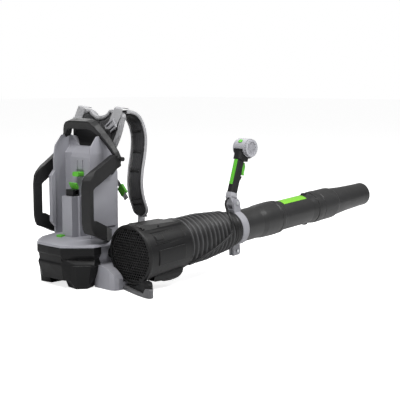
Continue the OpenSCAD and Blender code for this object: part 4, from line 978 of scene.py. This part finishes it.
def slab_pad(name, loop, x0, x1, material, voxel, cap):
    """Pad from an outline in the YZ plane (mm), edges thinner than the middle."""
    mid, half = (x0 + x1) / 2, (x1 - x0) / 2
    rings = [[Vector((mid + half * x, q.x, q.y)) * MM for q in inset(loop, d)]
             for x, d in ((-1, 9), (-0.85, 3.5), (-0.4, 0.5), (0.4, 0.5), (0.85, 3.5), (1, 9))]
    return puff(loft(name, rings, material), voxel, cap)


yoke_loop = yoke_outline(6)
yoke = slab_pad("yoke_cushion", inset(yoke_loop, 2.5), 76.6, 86.0, M["mesh"], 0.005, 0.0032)
for v in yoke.data.vertices:
    q = v.co / MM
    d = edge_distance(Vector((q.y, q.z)), yoke_loop)
    arch = abs(q.y) * 0.55 + 452
    pull = max(dent(0.38, d - YOKE_SEAM, 2.2), dent(0.45, q.y, 2.4), dent(0.3, q.z - arch, 2.6))
    v.co.x -= (q.x - YOKE_MID) * pull * MM
    v.co.x = max(v.co.x, 0.0741)    # clear of what lies behind it
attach(yoke, "backpack")
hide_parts("yoke_pad")


def binding(name, loop, x_rear, x_front, width, material):
    """Tape folded over the edge of a flat pad, reaching width(p) mm in on both faces."""
    n = len(loop)
    mid = (x_rear + x_front) / 2
    verts, uvs, run = [], [], 0.0
    for i, p in enumerate(loop):
        a, b = loop[i - 1], loop[(i + 1) % n]
        t = (b - a).normalized()
        inwards = Vector((t.y, -t.x))
        w = width(p)
        run += (b - a).length / 2
        sect = [(x_rear + 0.25, w), (x_rear - 0.1, w * 0.5), (x_rear + 0.3, 1.2),
                (x_rear + 2.2, -0.9), (mid, -1.5), (x_front - 2.2, -0.9),
                (x_front - 0.3, 1.2), (x_front + 0.1, w * 0.5), (x_front - 0.25, w),
                (x_front - 2.0, w - 0.2), (x_front - 2.6, 3.0), (mid, 1.2),
                (x_rear + 2.6, 3.0), (x_rear + 2.0, w - 0.2)]
        for j, (x, d) in enumerate(sect):
            q = p + inwards * d
            verts.append(Vector((x, q.x, q.y)) * MM)
            uvs.append(((j + 1) * 2.4 * MM, run * MM))
    faces = skin(n, len(sect), closed=True)
    return outward(make(name, verts, faces, material, "backpack", uvs=uvs))


def yoke_band(p):
    """Width of the yoke's tape at p: narrow at the feet, broad round the shoulders."""
    if p.y < 396:
        return 5.0
    if p.y > 515 and abs(p.x) < 60:
        return 8.5
    return 14.0 if p.y > 420 else 10.0


fine_loop = yoke_outline(3)
widths = [yoke_band(p) for p in fine_loop]
for _ in range(6):
    widths = [(widths[i - 1] + w + widths[(i + 1) % len(widths)]) / 3
              for i, w in enumerate(widths)]


def tape_width(q):
    """Evened-out width at the outline's point nearest to q."""
    return min(zip(fine_loop, widths), key=lambda pair: (pair[0] - q).length_squared)[1]


binding("yoke_binding", inset(fine_loop, 1.6), 74.4, 88.0, tape_width, M["binding"])


# ------------------------------------------------------------ back pad
# (y, z) in mm, once round
PAD = [(-64, 150), (-70, 166), (-72, 200), (-72, 270), (-72, 340), (-68, 362), (-58, 376),
       (-30, 378), (0, 378), (30, 378), (58, 376), (68, 362), (72, 340), (72, 270), (72, 200),
       (70, 166), (64, 150), (30, 149), (0, 149), (-30, 149)]
PAD_SEAM = 10                   # mm from the edge
QUILT = (196, 246, 296, 344)    # heights of the sewn lines at the middle


def pad_outline(step):
    return even_line(PAD + PAD[:1], step)[:-1]


pad_loop = pad_outline(6)
back = slab_pad("back_cushion", inset(pad_loop, 2.0), 75.6, 88.0, M["mesh"], 0.005, 0.0042)
for v in back.data.vertices:
    q = v.co / MM
    if q.x < 79:
        v.co.x = max(v.co.x, 0.0744)    # the rear face stays flat, clear of the plate
        continue
    d = edge_distance(Vector((q.y, q.z)), pad_loop)
    pull = max(dent(0.5, q.y, 5.0), dent(0.32, d - PAD_SEAM, 2.2))
    for z in QUILT:
        pull = max(pull, dent(0.42, q.z - z - abs(q.y) * 0.12, 3.0))
    v.co.x -= (q.x - 77) * pull * MM
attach(back, "backpack")
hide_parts("back_pad")
binding("back_binding", inset(pad_outline(3), 1.4), 75.2, 85.5, lambda p: 4.5, M["black_web"])


# ------------------------------------------------------------ webbing
LX = 72.65      # mm, where the load webbing lies flat behind the yoke
# middle line, direction of the width, and width of each load lifter
LOAD = {
    "right": ([(LX, -62, 482), (LX, -76, 505), (LX, -88, 522), (LX, -93, 531), (LX + 1, -95, 537),
               (79.25, -97, 540), (90.25, -98, 538.8), (98.25, -98, 536.4)], (0, -1, -0.1), 38),
    "left": ([(LX, 113, 486), (LX, 106, 499), (LX, 97, 514), (LX, 86, 532), (LX + 0.6, 84, 537.6),
              (78.25, 82, 539.6), (88.25, 80, 539.6), (96.25, 80, 537.4)], (0, 1, 0.1), 36),
}
for tag, (pts, side, width) in LOAD.items():
    p = Path(pts, side, 2.0)
    o = ribbon(f"load_webbing_{tag}", p, width, 2.2, M["webbing"], "backpack")
    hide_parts("load_webbing")
for side in (-1, 1):
    pts = [(158, side * 101, 196), (156, side * 100, 176), (146, side * 98, 150),
           (128, side * 94, 120), (110.3, side * 90, 96)]
    p = Path(pts, (0.2, -1, 0), 3.0)
    o = ribbon("lower_webbing_" + ("right" if side < 0 else "left"), p, 28, 2.4, M["webbing"],
               "backpack", ripple=0.5)
    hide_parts("lower_webbing")
p = Path([(142, 66, 322), (144, 40, 316), (142, 10, 308), (136, -18, 296), (130, -40, 280),
          (128, -54, 264), (128, -64, 251)], (0, 0.2, 1), 3.0)
o = ribbon("sternum_webbing", p, 20, 2.2, M["webbing"], "backpack", ripple=0.3)
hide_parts("sternum_strap")


# ------------------------------------------------------------ floor, light, view
FLOOR_Z, FLOOR_HALF = -0.0012, 30
FLOOR_GLOW = 0.78       # to the camera alone: the floor reads as white paper
AMBIENT = 0.26


def floor_and_light():
    me = bpy.data.meshes.new("floor")
    me.from_pydata([(x * FLOOR_HALF, y * FLOOR_HALF, FLOOR_Z)
                    for x, y in ((-1, -1), (1, -1), (1, 1), (-1, 1))], [], [(0, 1, 2, 3)])
    m, nt, b = start("pale_floor")
    tone = noise_node(nt, object_coords(nt), 1.2, 3)
    nt.links.new(blended(nt, tone, (0.72, 0.72, 0.72), (0.75, 0.75, 0.75)),
                 b.inputs["Base Color"])
    preset(b, Roughness=0.8, Specular_IOR_Level=0.1, Emission_Color=(1, 1, 1, 1))
    ray = node(nt, "ShaderNodeLightPath")
    nt.links.new(maths(nt, "MULTIPLY", ray.outputs["Is Camera Ray"], FLOOR_GLOW),
                 b.inputs["Emission Strength"])
    me.materials.append(m)
    floor = bpy.data.objects.new("floor", me)
    scene.collection.objects.link(floor)

    w = bpy.data.worlds.new("studio")
    scene.world = w
    w.use_nodes = True
    nt = w.node_tree
    nt.nodes.clear()
    out = node(nt, "ShaderNodeOutputWorld")
    lit = node(nt, "ShaderNodeBackground")
    preset(lit, Color=(1, 1, 1, 1), Strength=AMBIENT)
    seen = node(nt, "ShaderNodeBackground")
    preset(seen, Color=(1, 1, 1, 1), Strength=1.0)
    ray = node(nt, "ShaderNodeLightPath")
    direct = maths(nt, "MAXIMUM", ray.outputs["Is Camera Ray"],
                   ray.outputs["Is Transmission Ray"])
    mix = node(nt, "ShaderNodeMixShader")
    nt.links.new(direct, mix.inputs[0])
    nt.links.new(lit.outputs[0], mix.inputs[1])
    nt.links.new(seen.outputs[0], mix.inputs[2])
    nt.links.new(mix.outputs[0], out.inputs["Surface"])

    def lamp(name, place, aim, size, power):
        d = bpy.data.lights.new(name, "AREA")
        d.shape = "RECTANGLE"
        d.size, d.size_y = size
        d.energy = power
        o = bpy.data.objects.new(name, d)
        scene.collection.objects.link(o)
        o.location = place
        o.rotation_euler = (Vector(aim) - Vector(place)).to_track_quat("-Z", "Y").to_euler()

    lamp("key", (-1.5, -0.7, 3.1), (0.1, 0, 0.25), (1.5, 1.5), 92)
    lamp("side", (0.9, -1.9, 2.8), (0.4, -0.2, 0.2), (1.8, 0.9), 84)
    lamp("rear", (1.4, 2.2, 2.0), (0.3, -0.1, 0.3), (2.0, 1.4), 26)


floor_and_light()
scene.view_settings.view_transform = "Standard"
